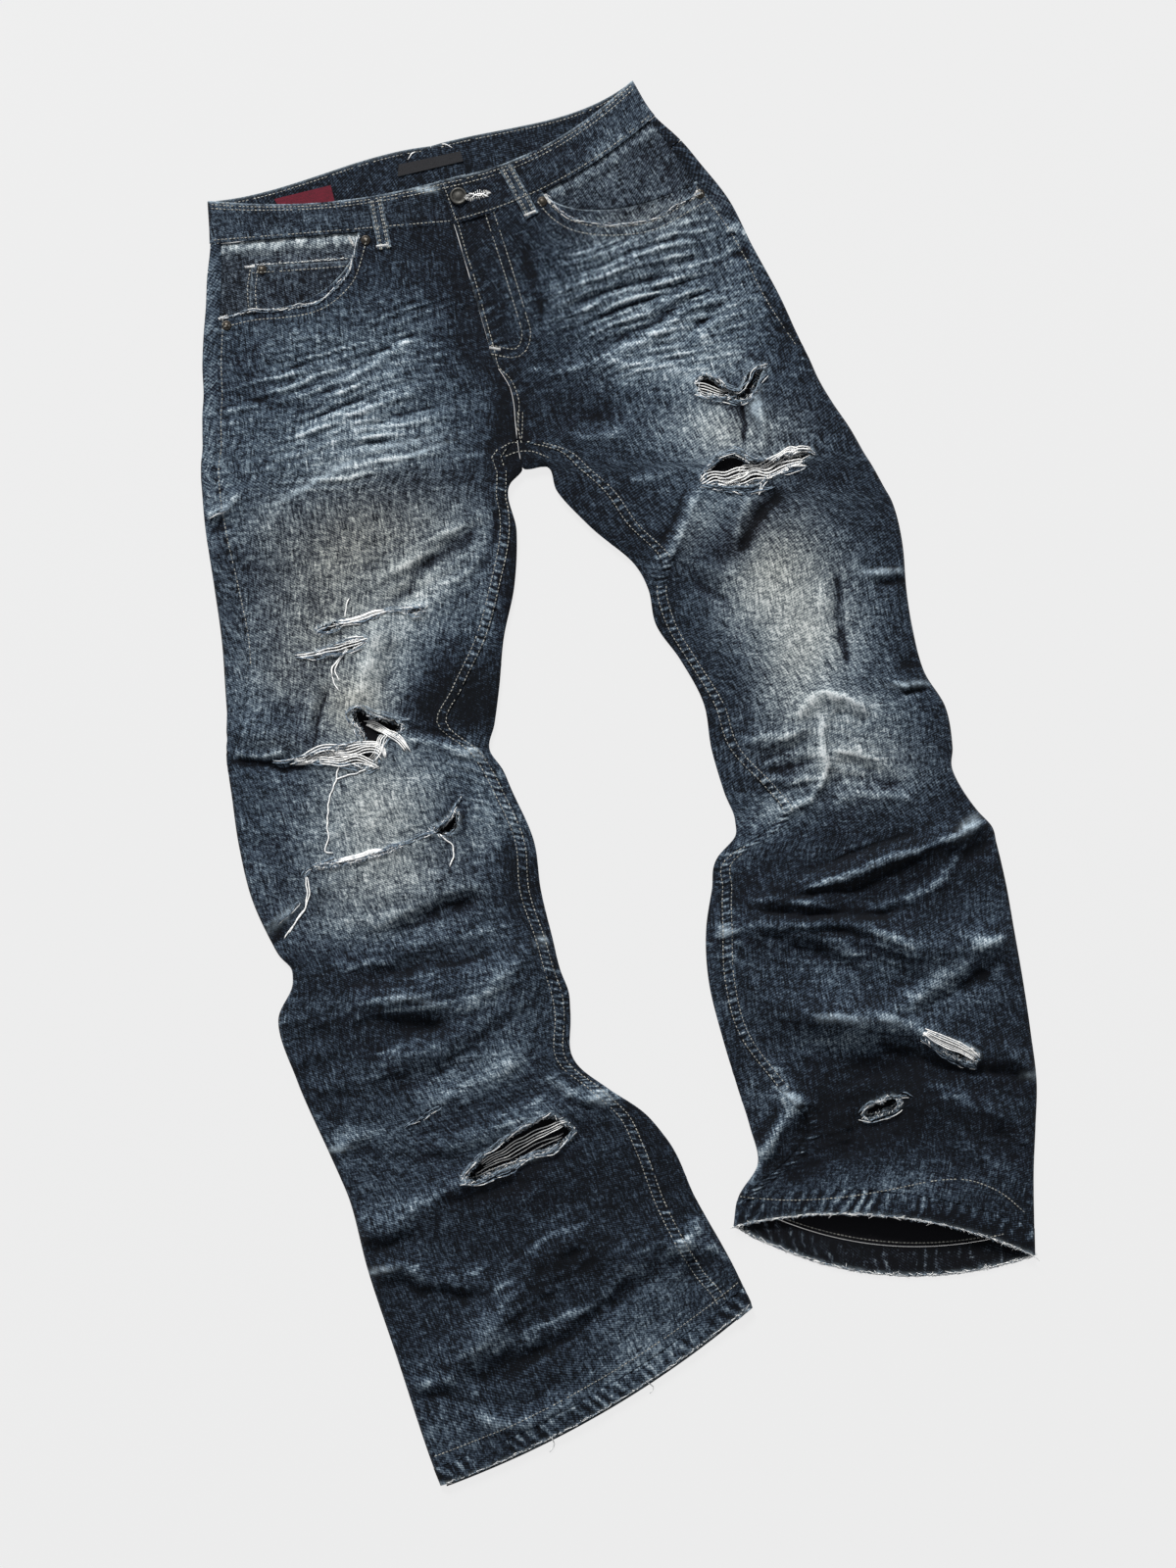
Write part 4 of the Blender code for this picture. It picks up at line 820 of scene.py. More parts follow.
def metalMaterial(name, bright, dark, roughness):
    # plating worn through on the rims, dull in the hollows
    material, tree, surface = newMaterial(name, roughness, metallic=0.9)
    cloud = mottle(tree, 700.0, 3.0)
    wornAndShaded = math(tree, "MULTIPLY_ADD", attribute(tree, "wear"), 0.6, math(tree, "MULTIPLY", cloud, 0.6), clamp=True)
    tree.links.new(ramp(tree, wornAndShaded, [(0.2, dark), (0.75, bright)]), surface.inputs["Base Color"])
    tree.links.new(mapRange(tree, cloud, 0.3, 0.7, roughness - 0.08, roughness + 0.15), surface.inputs["Roughness"])
    bump(tree, surface, cloud, 0.3, 0.0002)
    return material


agedMetal = metalMaterial("aged_metal", (78, 73, 66), (22, 20, 19), 0.45)
wornNickel = metalMaterial("worn_nickel", (70, 69, 66), (12, 12, 12), 0.55)
print("finishes made")

creaseLook = {"narrow": 0.8, "power": 1.5, "wearAndShadeSpread": 0.7, "rise": 1.25}


def creaseRelief(plan, creases):
    # the height of the creases, and a colour mark for each: worn and painted highlight along the ridges, painted shade
    # along the troughs. Noise bends the plan, so no ridge runs true
    x, y = plan[:, 0], plan[:, 1]
    bent = plan + np.column_stack([
        1.3 * patchNoise(x, y, 13, 101) + 3.0 * patchNoise(x, y, 42, 102),
        1.3 * patchNoise(x, y, 13, 103) + 3.0 * patchNoise(x, y, 42, 104),
    ])
    total, wornAndShaded = np.zeros(len(plan)), np.zeros(len(plan))
    for height, leftSpread, rightSpread, *line in creases:
        path, margin = smoothPath(line), 2.8 * max(leftSpread, rightSpread)
        below = smoothStep(-path[:, 1].mean(), 60, 160)
        widen = creaseLook["narrow"] * (1 + 0.45 * below)
        low, high = path.min(axis=0) - margin, path.max(axis=0) + margin
        near = np.flatnonzero(((bent > low) & (bent < high)).all(axis=1))
        if not len(near):
            continue
        gap, along, length = alongPath(bent[near], path)
        share = along / length
        taper = smoothStep(np.minimum(share * 1.15, 1 - share) + 0.04, 0, 0.3)
        wander = 1 + 0.30 * patchNoise(along, np.full(len(near), height * 7), 19, 5)
        spread = widen * np.where(gap > 0, leftSpread, rightSpread)
        away = np.abs(gap) / spread
        total[near] += height * taper * wander * np.exp(-(away ** creaseLook["power"]))
        wornAndShaded[near] += height * taper * wander * np.exp(-((away / (creaseLook["wearAndShadeSpread"] + 0.25 * below)) ** 2))
    total *= creaseLook["rise"]
    return total, wornAndShaded * (0.95 + 0.12 * patchNoise(x, y, 7, 105))


crumples = {"small": 11.0, "large": 34.0, "smallHeight": 0.6, "largeHeight": 1.1, "vein": 1.4}
# places where a seam or an edge has worn white: x, y, reach along and across, turn in degrees
pinches = [
    (-348, 235, 11, 2.4, 24), (-293, -118, 18, 3.2, 40), (-124, 27, 7, 3.5, -20), (-63, -135, 7, 4, 20),
    (-13, -272, 9, 4.5, 10), (-244, -317, 11, 2.2, 10), (-209, -422, 13, 2.2, 10), (63, -398, 9, 3.2, 17),
    (231, 184, 18, 2.0, 3), (254, 86, 16, 2.2, 4), (303, -37, 10, 4.5, 45), (89, -128, 7, 3.5, 0),
    (357, -252, 6, 3.5, 0), (144, -271, 9, 3.4, -30), (-186, 295, 26, 1.6, 12), (-170, 288, 20, 1.6, 20),
    (-262, 262, 34, 1.8, 30), (118, 332, 5, 20, 8),
]


def pinched(plan):
    total = sum(oval(plan, *pinch) for pinch in pinches)
    return np.clip(total * (0.62 + 0.7 * patchNoise(plan[:, 0], plan[:, 1], 5, 106)), 0, 1)


# fields of fine whiskers: x, y, reach across and up, the way they run in degrees, their pitch, length and height
whiskers = [
    (-245, 345, 105, 48, 15, 7.8, 9, 2.9),  # right hip
    (-225, 285, 100, 36, 10, 8, 8, 2.3),  # right hip low
    (-200, 392, 80, 26, 24, 7.2, 7, 1.7),  # right hip top
    (-170, 190, 60, 44, 28, 12, 6, 1.2),  # right thigh
    (30, 440, 100, 52, 18, 8.2, 9, 3),  # left hip
    (55, 385, 80, 36, 16, 8, 8, 2.4),  # left hip low
    (205, 36, 40, 28, -4, 7.4, 5, 1),  # left knee
    (140, 5, 40, 34, 12, 9, 6, 1.3),  # left knee low
    (190, -75, 100, 40, 16, 9.5, 7, 1.1),  # left below knee
    (200, -150, 100, 50, -12, 11, 7, 1.2),  # left calf
    (200, -270, 100, 55, 14, 11.5, 5.5, 1),  # left shin
    (-165, -185, 95, 80, 14, 11, 7, 1.3),  # right calf
    (-110, -300, 95, 40, 24, 10, 6, 1.1),  # right shin
    (-60, -430, 110, 75, 30, 13, 7, 1.1),  # right ankle
    (-125, 10, 34, 44, -20, 8, 5, 1.3),  # right knee inner
]


def whiskerRelief(plan):
    # near parallel crests that wander, fade and start again, each field running its own way
    total = np.zeros(len(plan))
    for i, (x, y, reachX, reachY, turn, pitch, stretch, height) in enumerate(whiskers):
        along, across = turned(plan, x, y, turn)
        wander = 0.24 * patchNoise(along / 2, across, 17, 120 + i) + 0.9 * patchNoise(along / 2, across, 44, 121 + i)
        crest = (0.5 + 0.5 * np.sin(2 * pi * (across + pitch * wander) / pitch)) ** 2.2 - 0.31
        broken = np.clip(0.75 + 1.1 * patchNoise(along / stretch, across, pitch * 1.1, 140 + i), 0, 1.5)
        total += height * oval(plan, x, y, reachX, reachY, turn) * crest * broken
    return total


def crumpleRelief(plan, side):
    # small uneven wrinkles, that run mostly across the leg and are deeper below the knee
    x, y = plan[:, 0], plan[:, 1]
    tilt = x * 0.35 * side
    below = smoothStep(-y, -60, 60)
    large = patchNoise(x * 0.55, y + tilt, crumples["large"], 11 + side)
    small = patchNoise(x * 0.6, y + tilt * 1.3, crumples["small"], 21 + side)
    vein = 1 - 2 * np.abs(patchNoise(x * 0.6 + 3 * large, y + tilt + 5 * small, 24, 31 + side))
    height = crumples["largeHeight"] * large + crumples["smallHeight"] * small
    return (height + crumples["vein"] * np.clip(vein - 0.55, 0, 1)) * (0.4 + 0.6 * below)


def pucker(distance, along, pitch, reach, height, seed):
    # the slanting ridges that a shrunk seam pulls up beside itself
    drift = 2.2 * patchNoise(along, distance * 0, pitch * 5, seed)
    wave = np.sin(2 * pi * (along + 0.35 * distance) / pitch + drift)
    strength = 0.65 + 0.5 * patchNoise(along, distance * 0 + 9, pitch * 1.6, seed + 1)
    return height * wave * strength * np.exp(-np.clip(distance, 0, None) / reach)


def patchPlan(patch, u, v):
    leg = patch["leg"]
    s = np.interp(v, np.linspace(0, 1, len(patch["rows"])), patch["rows"])
    around = patch["across"](leg, s, u)
    plan, onTop = leg.place(s, around, patch.get("beneath", False))
    return plan, onTop, s, around


def asMesh(name, work):
    mesh = bpy.data.meshes.new(name)
    work.to_mesh(mesh)
    work.free()
    return mesh


def pointsOf(mesh):
    flat = np.empty(len(mesh.vertices) * 3)
    mesh.vertices.foreach_get("co", flat)
    return flat.reshape(-1, 3)


def facesAt(verts):
    # each face once, in the same order every run
    return list({face: 0 for vert in verts for face in vert.link_faces})


def gridMesh(name, grids):
    # a unit square for each (columns, rows, leg's side), one above another, to be laid out as cloth
    work = bmesh.new()
    for level, (columns, rows, side) in enumerate(grids):
        verts = bmesh.ops.create_grid(work, x_segments=columns, y_segments=rows, size=0.5)["verts"]
        bmesh.ops.translate(work, verts=verts, vec=(0.5, 0.5, level))
        if side < 0:
            bmesh.ops.reverse_faces(work, faces=facesAt(verts))
    return asMesh(name, work)


def layOut(mesh, spots, uv, marks):
    # gives the grid its places, the cloth's own UV map and the marks that the finishes read
    mesh.vertices.foreach_set("co", spots.ravel())
    for key, values in marks.items():
        mesh.attributes.new(key, "FLOAT", "POINT").data.foreach_set("value", values.astype(np.float32))
    corners = np.empty(len(mesh.loops), np.int32)
    mesh.loops.foreach_get("vertex_index", corners)
    mesh.uv_layers.new(name="cloth").data.foreach_set("uv", uv[corners].astype(np.float32).ravel())


def clothPiece(name, patches, shade, wall, lift=0.0, detail=None, rips=(), slot="denim", material=None, closed=False):
    # grids of cloth over the lay. Each patch says its leg, its rows of stations and its columns round the loop
    mesh = gridMesh(name, [(patch["columns"], len(patch["rows"]) - 1, patch["leg"].side) for patch in patches])
    flat = pointsOf(mesh)
    spots, uv = np.empty(flat.shape), np.empty((len(flat), 2))
    marks = {key: np.zeros(len(flat)) for key in ("tone", "tan", "wear", "white")}
    for level, patch in enumerate(patches):
        mine = np.flatnonzero(np.round(flat[:, 2]) == level)
        u, v = flat[mine, 0], flat[mine, 1]
        plan, onTop, s, around = patch["plan"](u, v) if "plan" in patch else patchPlan(patch, u, v)
        found = detail(patch["leg"], plan, onTop, s, around)
        z = heights(plan, onTop, found.get("height", 0.0)) + lift + found.get("lift", 0.0)
        z = np.maximum(z, np.where(onTop, 0.0, wall / 2 + 0.1))
        spots[mine] = np.column_stack([nudged(plan) + shift, z]) * mm
        uv[mine] = np.column_stack([around - patch["leg"].width(s) / 2, s]) * mm
        marks["tone"][mine], marks["tan"][mine] = shade(plan, onTop)
        marks["tone"][mine] += found.get("tone", 0.0)
        for key in ("wear", "white"):
            marks[key][mine] = found.get(key, 0.0)
    layOut(mesh, spots, uv, marks)
    finishCloth(mesh, wall, rips, closed)
    return addPiece(name, mesh, material, slot)


def finishCloth(mesh, wall, rips=(), closed=False):
    # moves the cloth out to its outer face, cuts the holes and turns the rim in. A closed piece has its inner face too
    work = bmesh.new()
    work.from_mesh(mesh)
    bmesh.ops.remove_doubles(work, verts=work.verts, dist=2e-5)
    work.normal_update()
    for vert in work.verts:
        vert.co += vert.normal * (wall / 2 * mm)
    if rips:
        cutRips(work, rips)
    rim = [edge for edge in work.edges if edge.is_boundary]
    normals = {vert: vert.normal.copy() for vert in work.verts}
    for edge in rim:
        edge.smooth = False
    inner = []
    if closed:
        copied = bmesh.ops.duplicate(work, geom=work.verts[:] + work.edges[:] + work.faces[:])
        inner = [item for item in copied["geom"] if isinstance(item, bmesh.types.BMFace)]
        bmesh.ops.reverse_faces(work, faces=inner)
        for old, vert in copied["vert_map"].items():
            if isinstance(old, bmesh.types.BMVert) and old in normals:
                vert.co = old.co - normals[old] * (wall * 0.95 * mm)
    made = bmesh.ops.extrude_edge_only(work, edges=rim)["geom"]
    fresh = {item: 0 for item in made if isinstance(item, bmesh.types.BMVert)}
    for vert in fresh:
        old = next(edge.other_vert(vert) for edge in vert.link_edges if edge.other_vert(vert) not in fresh)
        vert.co = old.co - normals[old] * (wall * 0.95 * mm)
    for face in work.faces:
        face.smooth = True
    for face in inner:
        face.material_index = 1
    if closed:
        bmesh.ops.remove_doubles(work, verts=work.verts, dist=1e-6)
    work.to_mesh(mesh)
    work.free()


def inside(points, outline):
    # which points are inside a closed outline
    x, y = points[:, 0], points[:, 1]
    odd = np.zeros(len(points), bool)
    for (ax, ay), (bx, by) in zip(outline, np.roll(outline, -1, axis=0)):
        cross = (ay > y) != (by > y)
        odd ^= cross & (x < (bx - ax) * (y - ay) / (by - ay + 1e-12) + ax)
    return odd


fray = {"jitter": 0.8, "snap": 3.2, "lift": 1.2, "liftReach": 3.6, "white": 1.9, "band": 5.0}


def cutRips(work, rips):
    # opens each hole, pulls its edge on to the outline, lifts the lips a little and whitens them
    tone, white = work.verts.layers.float["tone"], work.verts.layers.float["white"]
    jitter = np.random.default_rng(4)
    for points in rips:
        outline = places(points)
        middle, reach = outline.mean(axis=0), np.abs(outline - outline.mean(axis=0)).max(axis=0) + 25
        verts = [v for v in work.verts if (np.abs(np.array(v.co.xy) / mm - middle) < reach).all()]
        faces = facesAt(verts)
        centres = np.array([face.calc_center_median().xy for face in faces]) / mm
        gone = [face for face, cut in zip(faces, inside(centres, outline)) if cut]
        bmesh.ops.delete(work, geom=gone, context="FACES")
        verts = [v for v in verts if v.is_valid]
        plan = np.array([v.co.xy for v in verts]) / mm
        path = smoothPath(np.vstack([outline, outline[:1]]), 1.5)
        gap = np.abs(alongPath(plan, path)[0])
        for vert, distance, spot in zip(verts, gap, plan):
            if vert.is_boundary and distance < fray["snap"]:
                nearest = path[np.argmin(((path - spot) ** 2).sum(axis=1))] + jitter.normal(0, fray["jitter"], 2)
                vert.co.x, vert.co.y = nearest * mm
                distance = 0.0
            vert.co.z += fray["lift"] * mm * bell(distance, fray["liftReach"])
            vert[white] = max(vert[white], jitter.uniform(0.0, 0.8) * bell(distance, fray["white"]))
            vert[tone] += 0.06 * bell(distance, fray["band"])


pieces = {}


def addPiece(name, mesh, material, slot):
    # material is one finish, or the outer and the inner one. A piece stands for the solid of its own name
    for finish in material if isinstance(material, tuple) else (material,):
        mesh.materials.append(finish)
    mesh.name = f"{name}_{slot}"
    piece = pieces[name] = addObject(mesh.name, mesh)
    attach(piece, "root")
    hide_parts(name)
    return piece

# fading and painted light. Each patch: x, y, reach across and up, turn in degrees, how much paler, and how dusty. Most
# are faded, worn dye; some narrow ones beside folds are painted light on a fold's lit side
rightFadesAndLight = [
    (-235, 355, 92, 46, 15, 0.26), (-230, 290, 96, 34, 8, 0.35), (-175, 392, 40, 20, 28, 0.1),
    (-348, 235, 22, 150, 0, 0.13), (-250, 410, 60, 14, 10, 0.08), (-225, 215, 82, 52, 15, 0.28, 0.8),
    (-145, 205, 36, 60, 0, 0.15, 0.1), (-258, 130, 60, 60, 0, 0.31, 0.6), (-198, 112, 30, 80, -22, 0.44, 0.1),
    (-236, 62, 34, 34, 0, 0.24, 0.5), (-213, -20, 54, 52, 8, 0.56, 0.5), (-205, -88, 76, 36, 12, 0.34, 0.4),
    (-140, 0, 48, 42, 0, 0.24), (-86, -35, 18, 30, 0, 0.16), (-318, 10, 26, 110, 0, 0.18),
    (-130, -200, 80, 80, 15, 0.1), (-270, -220, 24, 70, 20, 0.06), (-100, -296, 70, 22, 22, 0.17),
    (-14, -271, 16, 11, 0, 0.24), (-212, -318, 38, 34, 25, 0.14), (-40, -375, 80, 44, 25, -0.05),
    (-140, -450, 60, 50, 20, 0.04), (32, -492, 60, 44, 28, 0.23), (-306, 225, 24, 26, 0, 0.22, 0.1),
    (-140, -252, 58, 26, 20, 0.14), (-200, -366, 40, 16, 20, 0.16), (-150, 142, 30, 26, 0, 0.13),
    (-122, 226, 20, 28, 0, 0.14), (-182, 168, 46, 13, 25, 0.08, 0.1), (-117, 150, 12, 50, 0, 0.14),
    (-235, -124, 62, 12, 8, 0.22), (-108, -36, 18, 18, 0, 0.2), (-88, -190, 30, 50, 0, 0.1),
    (62, -396, 18, 12, 20, 0.22), (10, -440, 34, 14, 30, 0.1), (-150, -560, 50, 36, 20, 0.17),
    (-285, 385, 50, 20, 0, 0.09), (-215, 322, 70, 14, 8, 0.09), (-325, 95, 20, 50, 0, 0.1),
    (-180, 168, 40, 16, 20, 0.08, 0.1), (-130, 50, 26, 30, 0, 0.08), (-262, -45, 30, 30, 0, 0.14),
    (-310, -80, 14, 34, 20, 0.1), (-165, -118, 40, 12, 10, 0.07), (-110, -232, 40, 30, 30, 0.07),
    (-244, -305, 26, 12, 0, 0.08), (25, -490, 30, 24, 20, 0.05), (-120, -510, 40, 16, 20, 0.05),
    (-358, 330, 9, 130, 0, 0.18), (-357, 440, 9, 30, 0, 0.2), (-195, 311, 60, 8, 14, 0.08),
    (-110, 200, 12, 24, 0, 0.1), (-292, 90, 22, 24, 0, 0.12, 0.2), (-292, 35, 22, 14, 0, 0.12, 0.2),
    (-222, 75, 34, 18, 0, 0.08, 0.2), (-122, -52, 20, 14, 0, 0.14), (-205, -134, 50, 10, 14, 0.1),
    (-98, -128, 34, 10, 20, 0.1), (-240, -192, 36, 8, 0, 0.12), (-100, -245, 40, 12, 28, 0.08),
    (-240, -305, 26, 12, 0, 0.08), (52, -436, 30, 10, 26, 0.12), (0, -508, 30, 18, 20, 0.06),
    (-188, -430, 22, 10, 0, 0.08), (-172, -500, 24, 12, 10, 0.08), (-225, -305, 30, 8, 10, 0.12),
    (-90, -484, 44, 8, 12, 0.12), (-18, -524, 40, 14, 25, 0.1), (-205, 385, 26, 16, 0, 0.1),
    (-345, 445, 12, 24, 0, 0.14),
]
leftFadesAndLight = [
    (22, 445, 90, 40, 20, 0.27, 0.05), (62, 382, 62, 44, 10, 0.38), (20, 494, 66, 20, 12, 0.18, 0.4),
    (120, 440, 26, 48, 30, 0.14), (96, 306, 40, 32, -15, 0.38, 0.45), (150, 305, 34, 34, 0, 0.14, 0.2),
    (46, 262, 20, 30, -30, 0.1), (134, 198, 42, 50, -25, 0.36, 0.6), (158, 118, 38, 76, -14, 0.54, 0.55),
    (205, 120, 40, 90, 0, 0.2, 0.1), (200, 18, 66, 36, 0, 0.42, 0.35), (98, -28, 20, 46, 10, 0.14),
    (190, -165, 100, 34, 0, 0.07), (92, -170, 18, 80, 0, 0.09), (118, -275, 26, 48, 0, 0.14, 0.05),
    (112, 156, 34, 42, 0, 0.3, 0.2), (80, 238, 22, 34, -25, 0.34), (52, 306, 62, 26, 0, 0.26),
    (2, 380, 28, 24, 0, 0.12), (190, 67, 40, 17, 0, 0.28, 0.1), (240, 58, 30, 20, 0, 0.1),
    (132, -26, 20, 14, 30, 0.28), (276, -180, 20, 36, -30, 0.2), (200, -224, 46, 12, -5, 0.24),
    (235, -352, 100, 18, 4, 0.13), (-30, 430, 26, 24, 0, 0.09), (20, 355, 70, 16, 0, 0.1),
    (96, 368, 16, 14, 0, 0.16, 0.1), (215, 4, 44, 10, 0, 0.09), (128, -22, 24, 14, 20, 0.14),
    (30, 174, 10, 22, 0, 0.12), (210, -162, 90, 22, -4, 0.07), (318, -150, 22, 34, 0, 0.1),
    (205, -222, 70, 14, -4, 0.09), (250, -345, 60, 14, 0, 0.05), (60, 213, 14, 28, -20, 0.16, 0.2),
    (118, 228, 12, 22, -35, 0.12, 0.2), (40, 352, 36, 10, 0, 0.08), (300, -186, 20, 22, 0, 0.1),
    (150, -292, 14, 24, 20, 0.12), (195, -224, 60, 10, -4, 0.06), (142, -36, 34, 11, 38, 0.14),
]
# the same, and how much darker: painted shade where folds, creases, hollows and the crotch lie in shadow
rightPaintedShade = [
    (-140, 74, 36, 26, 14, 0.32), (-97, 200, 11, 64, 0, 0.13), (-90, -80, 12, 60, 10, 0.16),
    (-142, -16, 12, 24, 0, 0.2), (-92, -330, 42, 15, 25, 0.32), (-190, -182, 34, 9, 0, 0.18),
    (-165, -216, 30, 9, 10, 0.14), (-88, -446, 14, 34, -28, 0.14), (-140, 400, 26, 40, 0, 0.1),
    (-146, -34, 14, 12, 0, 0.32), (-96, 306, 13, 38, 0, 0.36), (-235, -205, 46, 14, 12, 0.08),
    (-128, 66, 18, 22, 0, 0.1), (-170, 262, 60, 12, 5, 0.13), (-318, 2, 14, 24, 0, 0.12), (-84, -74, 9, 34, 14, 0.08),
    (-155, -114, 34, 8, 6, 0.12), (-70, -225, 14, 24, 0, 0.1), (-88, -281, 30, 8, 22, 0.12),
    (-300, 300, 20, 14, 0, 0.06), (-250, 101, 18, 14, 0, 0.1), (92, -476, 20, 8, 30, 0.06),
    (42, -384, 12, 18, 0, 0.1), (-150, 60, 30, 14, 0, 0.08), (-86, -232, 16, 12, 0, 0.1), (-190, 72, 40, 14, 0, 0.1),
    (-100, -322, 26, 10, 30, 0.12), (-200, -235, 24, 10, 10, 0.08), (-105, -272, 30, 8, 20, 0.08),
    (-92, 300, 12, 30, 0, 0.16),
]
leftPaintedShade = [
    (116, 226, 13, 46, -46, 0.24), (104, 330, 10, 26, 10, 0.22), (-20, 330, 70, 30, 10, 0.03),
    (138, 6, 26, 9, 8, 0.14), (220, -276, 46, 28, 20, 0.26), (232, -68, 44, 11, 16, 0.2),
    (215, -118, 22, 14, 0, 0.16), (105, -92, 20, 14, 0, 0.12), (48, 216, 12, 24, -20, 0.12),
    (96, 264, 22, 10, 10, 0.26), (230, -284, 26, 16, 10, 0.2), (120, 20, 24, 30, 0, 0.06), (192, 80, 30, 8, 0, 0.16),
    (202, -6, 30, 7, 0, 0.18), (150, -108, 26, 8, 0, 0.1), (285, -74, 24, 12, 30, 0.12), (103, -142, 12, 14, 0, 0.12),
    (190, -206, 50, 6, 0, 0.12), (85, 337, 12, 14, 0, 0.14), (120, 316, 10, 20, 0, 0.1), (135, 412, 11, 42, 28, 0.12),
    (190, -78, 110, 34, 12, 0.05), (232, -262, 84, 50, 0, 0.1), (100, 200, 30, 20, 0, 0.08),
    (145, 5, 26, 12, 20, 0.1), (224, -286, 38, 20, 20, 0.24), (40, 400, 30, 12, 16, 0.06),
]
denimTone = {"base": 0.09, "edgeShade": 0.03, "edgeReach": 14.0, "flyDark": 0.10}


def fadingAndPaintedLight(plan):
    tone, tan = np.full(len(plan), denimTone["base"]), np.zeros(len(plan))
    # painted shade: the dark patches go in with their amounts turned negative
    paintedShade = [(*spot, -dark) for *spot, dark in rightPaintedShade + leftPaintedShade]
    for *spot, pale, dust in [(*patch, 0)[:7] for patch in rightFadesAndLight + leftFadesAndLight + paintedShade]:
        near = oval(plan, *spot)
        tone += pale * near
        tan += dust * near**1.1
    tone -= 0.022 * smoothStep(-plan[:, 1], 90, 190)
    gap, _, _ = alongPath(plan, np.array([(-150, 512), (-104, 365)], float))
    tone -= denimTone["flyDark"] * bell(gap, 40) * smoothStep(plan[:, 1], 320, 360)
    tone += 0.045 * patchNoise(plan[:, 0], plan[:, 1], 46, 3) + 0.03 * patchNoise(plan[:, 0], plan[:, 1], 17, 8)
    return tone, np.clip(tan, 0, 1)


def panelShade(plan, onTop):
    tone, tan = fadingAndPaintedLight(plan)
    away = edgeGap(plan)
    # painted shade: darker near the leg's edges, where the cloth rounds over
    tone -= denimTone["edgeShade"] * np.exp(-away / denimTone["edgeReach"])
    return np.where(onTop, tone, 0.16), np.where(onTop, tan, 0.4)


def plainShade(tone, tan=0.0):
    return lambda plan, onTop: (np.full(len(plan), tone), np.full(len(plan), tan))

# panels of the legs
grain = {"cell": 1.95, "mouthRows": 56, "beneath": 6.0}
fly = {"over": 1.6, "lift": 1.3, "reach": 7.0}


def panelRows(leg, last, spacing):
    turns = np.linspace(0, pi / 2, grain["mouthRows"])
    mouth = seamGap / 2 + leg.mouth[1] * np.sin(turns) ** (2 / mouths["power"])
    level = max(leg.station("arch"), mouth[-1])
    above = np.linspace(mouth[-1], level, int((level - mouth[-1]) / spacing) + 2)[1:]
    below = np.linspace(level, last, int((last - level) / spacing) + 2)[1:]
    return np.concatenate([mouth, above, below])


def frontAcross(leg, s, u):
    width = leg.width(s)
    outseam, inseam = leg.seams(s)
    start = outseam + 0.05
    start = np.where(s < seamGap / 2 + leg.mouth[1] - 0.01, np.maximum(start, leg.mouthReach(s - seamGap / 2)), start)
    end = np.where((inseam > 0) & (s > leg.station("crotch point")), width - inseam - 0.05, width)
    if leg.side > 0:
        end = end + fly["over"] * (1 - smoothStep(s, leg.station("rise"), leg.station("crotch point")))
    bend, share = np.maximum(0.0, start + 0.6), 3 / leg.columns
    return np.where(u < share, start + (bend - start) * u / share, bend + (end - bend) * (u - share) / (1 - share))


def frontDetail(leg, plan, onTop, s, around):
    width = leg.width(s)
    outseam, inseam = leg.seams(s)
    fine, wornAndShaded = creaseRelief(plan, leg.creases)
    whisker = whiskerRelief(plan)
    crumple = crumpleRelief(plan, leg.side)
    toOut, toIn = np.abs(around - outseam), np.abs(width - np.maximum(inseam, 0) - around)
    below = s > leg.station("crotch point")
    seams = pucker(toOut, s, 9.0, 9.0, 0.6, 40) + np.where(below, pucker(toIn, s, 9.5, 8.0, 0.55, 50), 0)
    felled = np.where(below, 0.6 * smoothStep(toIn, 0, 1.5) * (1 - smoothStep(toIn, 8, 11)), 0)
    groove = -0.9 * bell(toOut, 1.6) - np.where(below, 0.9 * bell(toIn, 1.6), 0)
    ladder = np.where(below, smoothStep(toIn, 0.8, 2.2) * (1 - smoothStep(toIn, 8, 9.6)), 0)
    ladder = ladder * np.sin(2 * pi * (s + 0.3 * toIn) / 5.6 + 2.4 * patchNoise(s, toIn * 0, 25, 61))
    waist = pucker(s, plan[:, 0] * 0.95, 5.0, 9.0, 0.4, 60)
    height = fine + whisker + crumple + seams + felled + groove + waist
    lift = np.zeros(len(s))
    toMouth = np.where(s < leg.mouth[1] + 1, around - leg.mouthReach(s), 99)
    white = (0.5 + 0.5 * patchNoise(s, around, 14, 71)) * bell(toMouth, 1.3)
    if leg.side > 0:
        fall = 1 - smoothStep(s, leg.station("rise"), leg.station("crotch point"))
        lift += fly["lift"] * np.exp(-np.clip(width - around, 0, None) / fly["reach"]) * fall
        seams = seams + pucker(width - around, s, 12.0, 17.0, 0.8, 44) * fall * smoothStep(s, 8, 24)
        white += 0.5 * bell(width + fly["over"] - around, 1.3) * fall * smoothStep(plan[:, 1], 300, 340)
    calm = 0.50 + 0.50 * smoothStep(plan[:, 1] + 0.35 * plan[:, 0] * (leg.side > 0), -110, 10)
    # crests paler, wear and painted highlight; troughs, grooves, whisker hollows and the far sides of puckers darker:
    # painted shade
    wear = wornAndShaded / 2.3 * calm + whisker / 1.35 + crumple / 3.0 + (seams + waist) * 1.8 + groove * 0.7 + ladder * 1.2
    knots = np.clip(wornAndShaded - 3.4, 0, 2) * 0.16
    return {"height": height + 0.3 * ladder, "lift": lift, "wear": wear, "white": white + knots + 0.8 * pinched(plan)}


def makeFront(side):
    leg = legs[side]
    leg.columns = 136
    leg.creases = rightCreases if side == "right" else leftCreases
    rows = panelRows(leg, leg.station("hem top") - 0.2, grain["cell"])
    patch = {"leg": leg, "rows": rows, "columns": leg.columns, "across": frontAcross}
    rips = rightRips if side == "right" else leftRips
    name = f"front_panel_{side}"
    piece = clothPiece(name, [patch], panelShade, cloth["wall"], detail=frontDetail, rips=rips, material=denim)
    print(name, len(piece.data.polygons), "faces")
    return piece


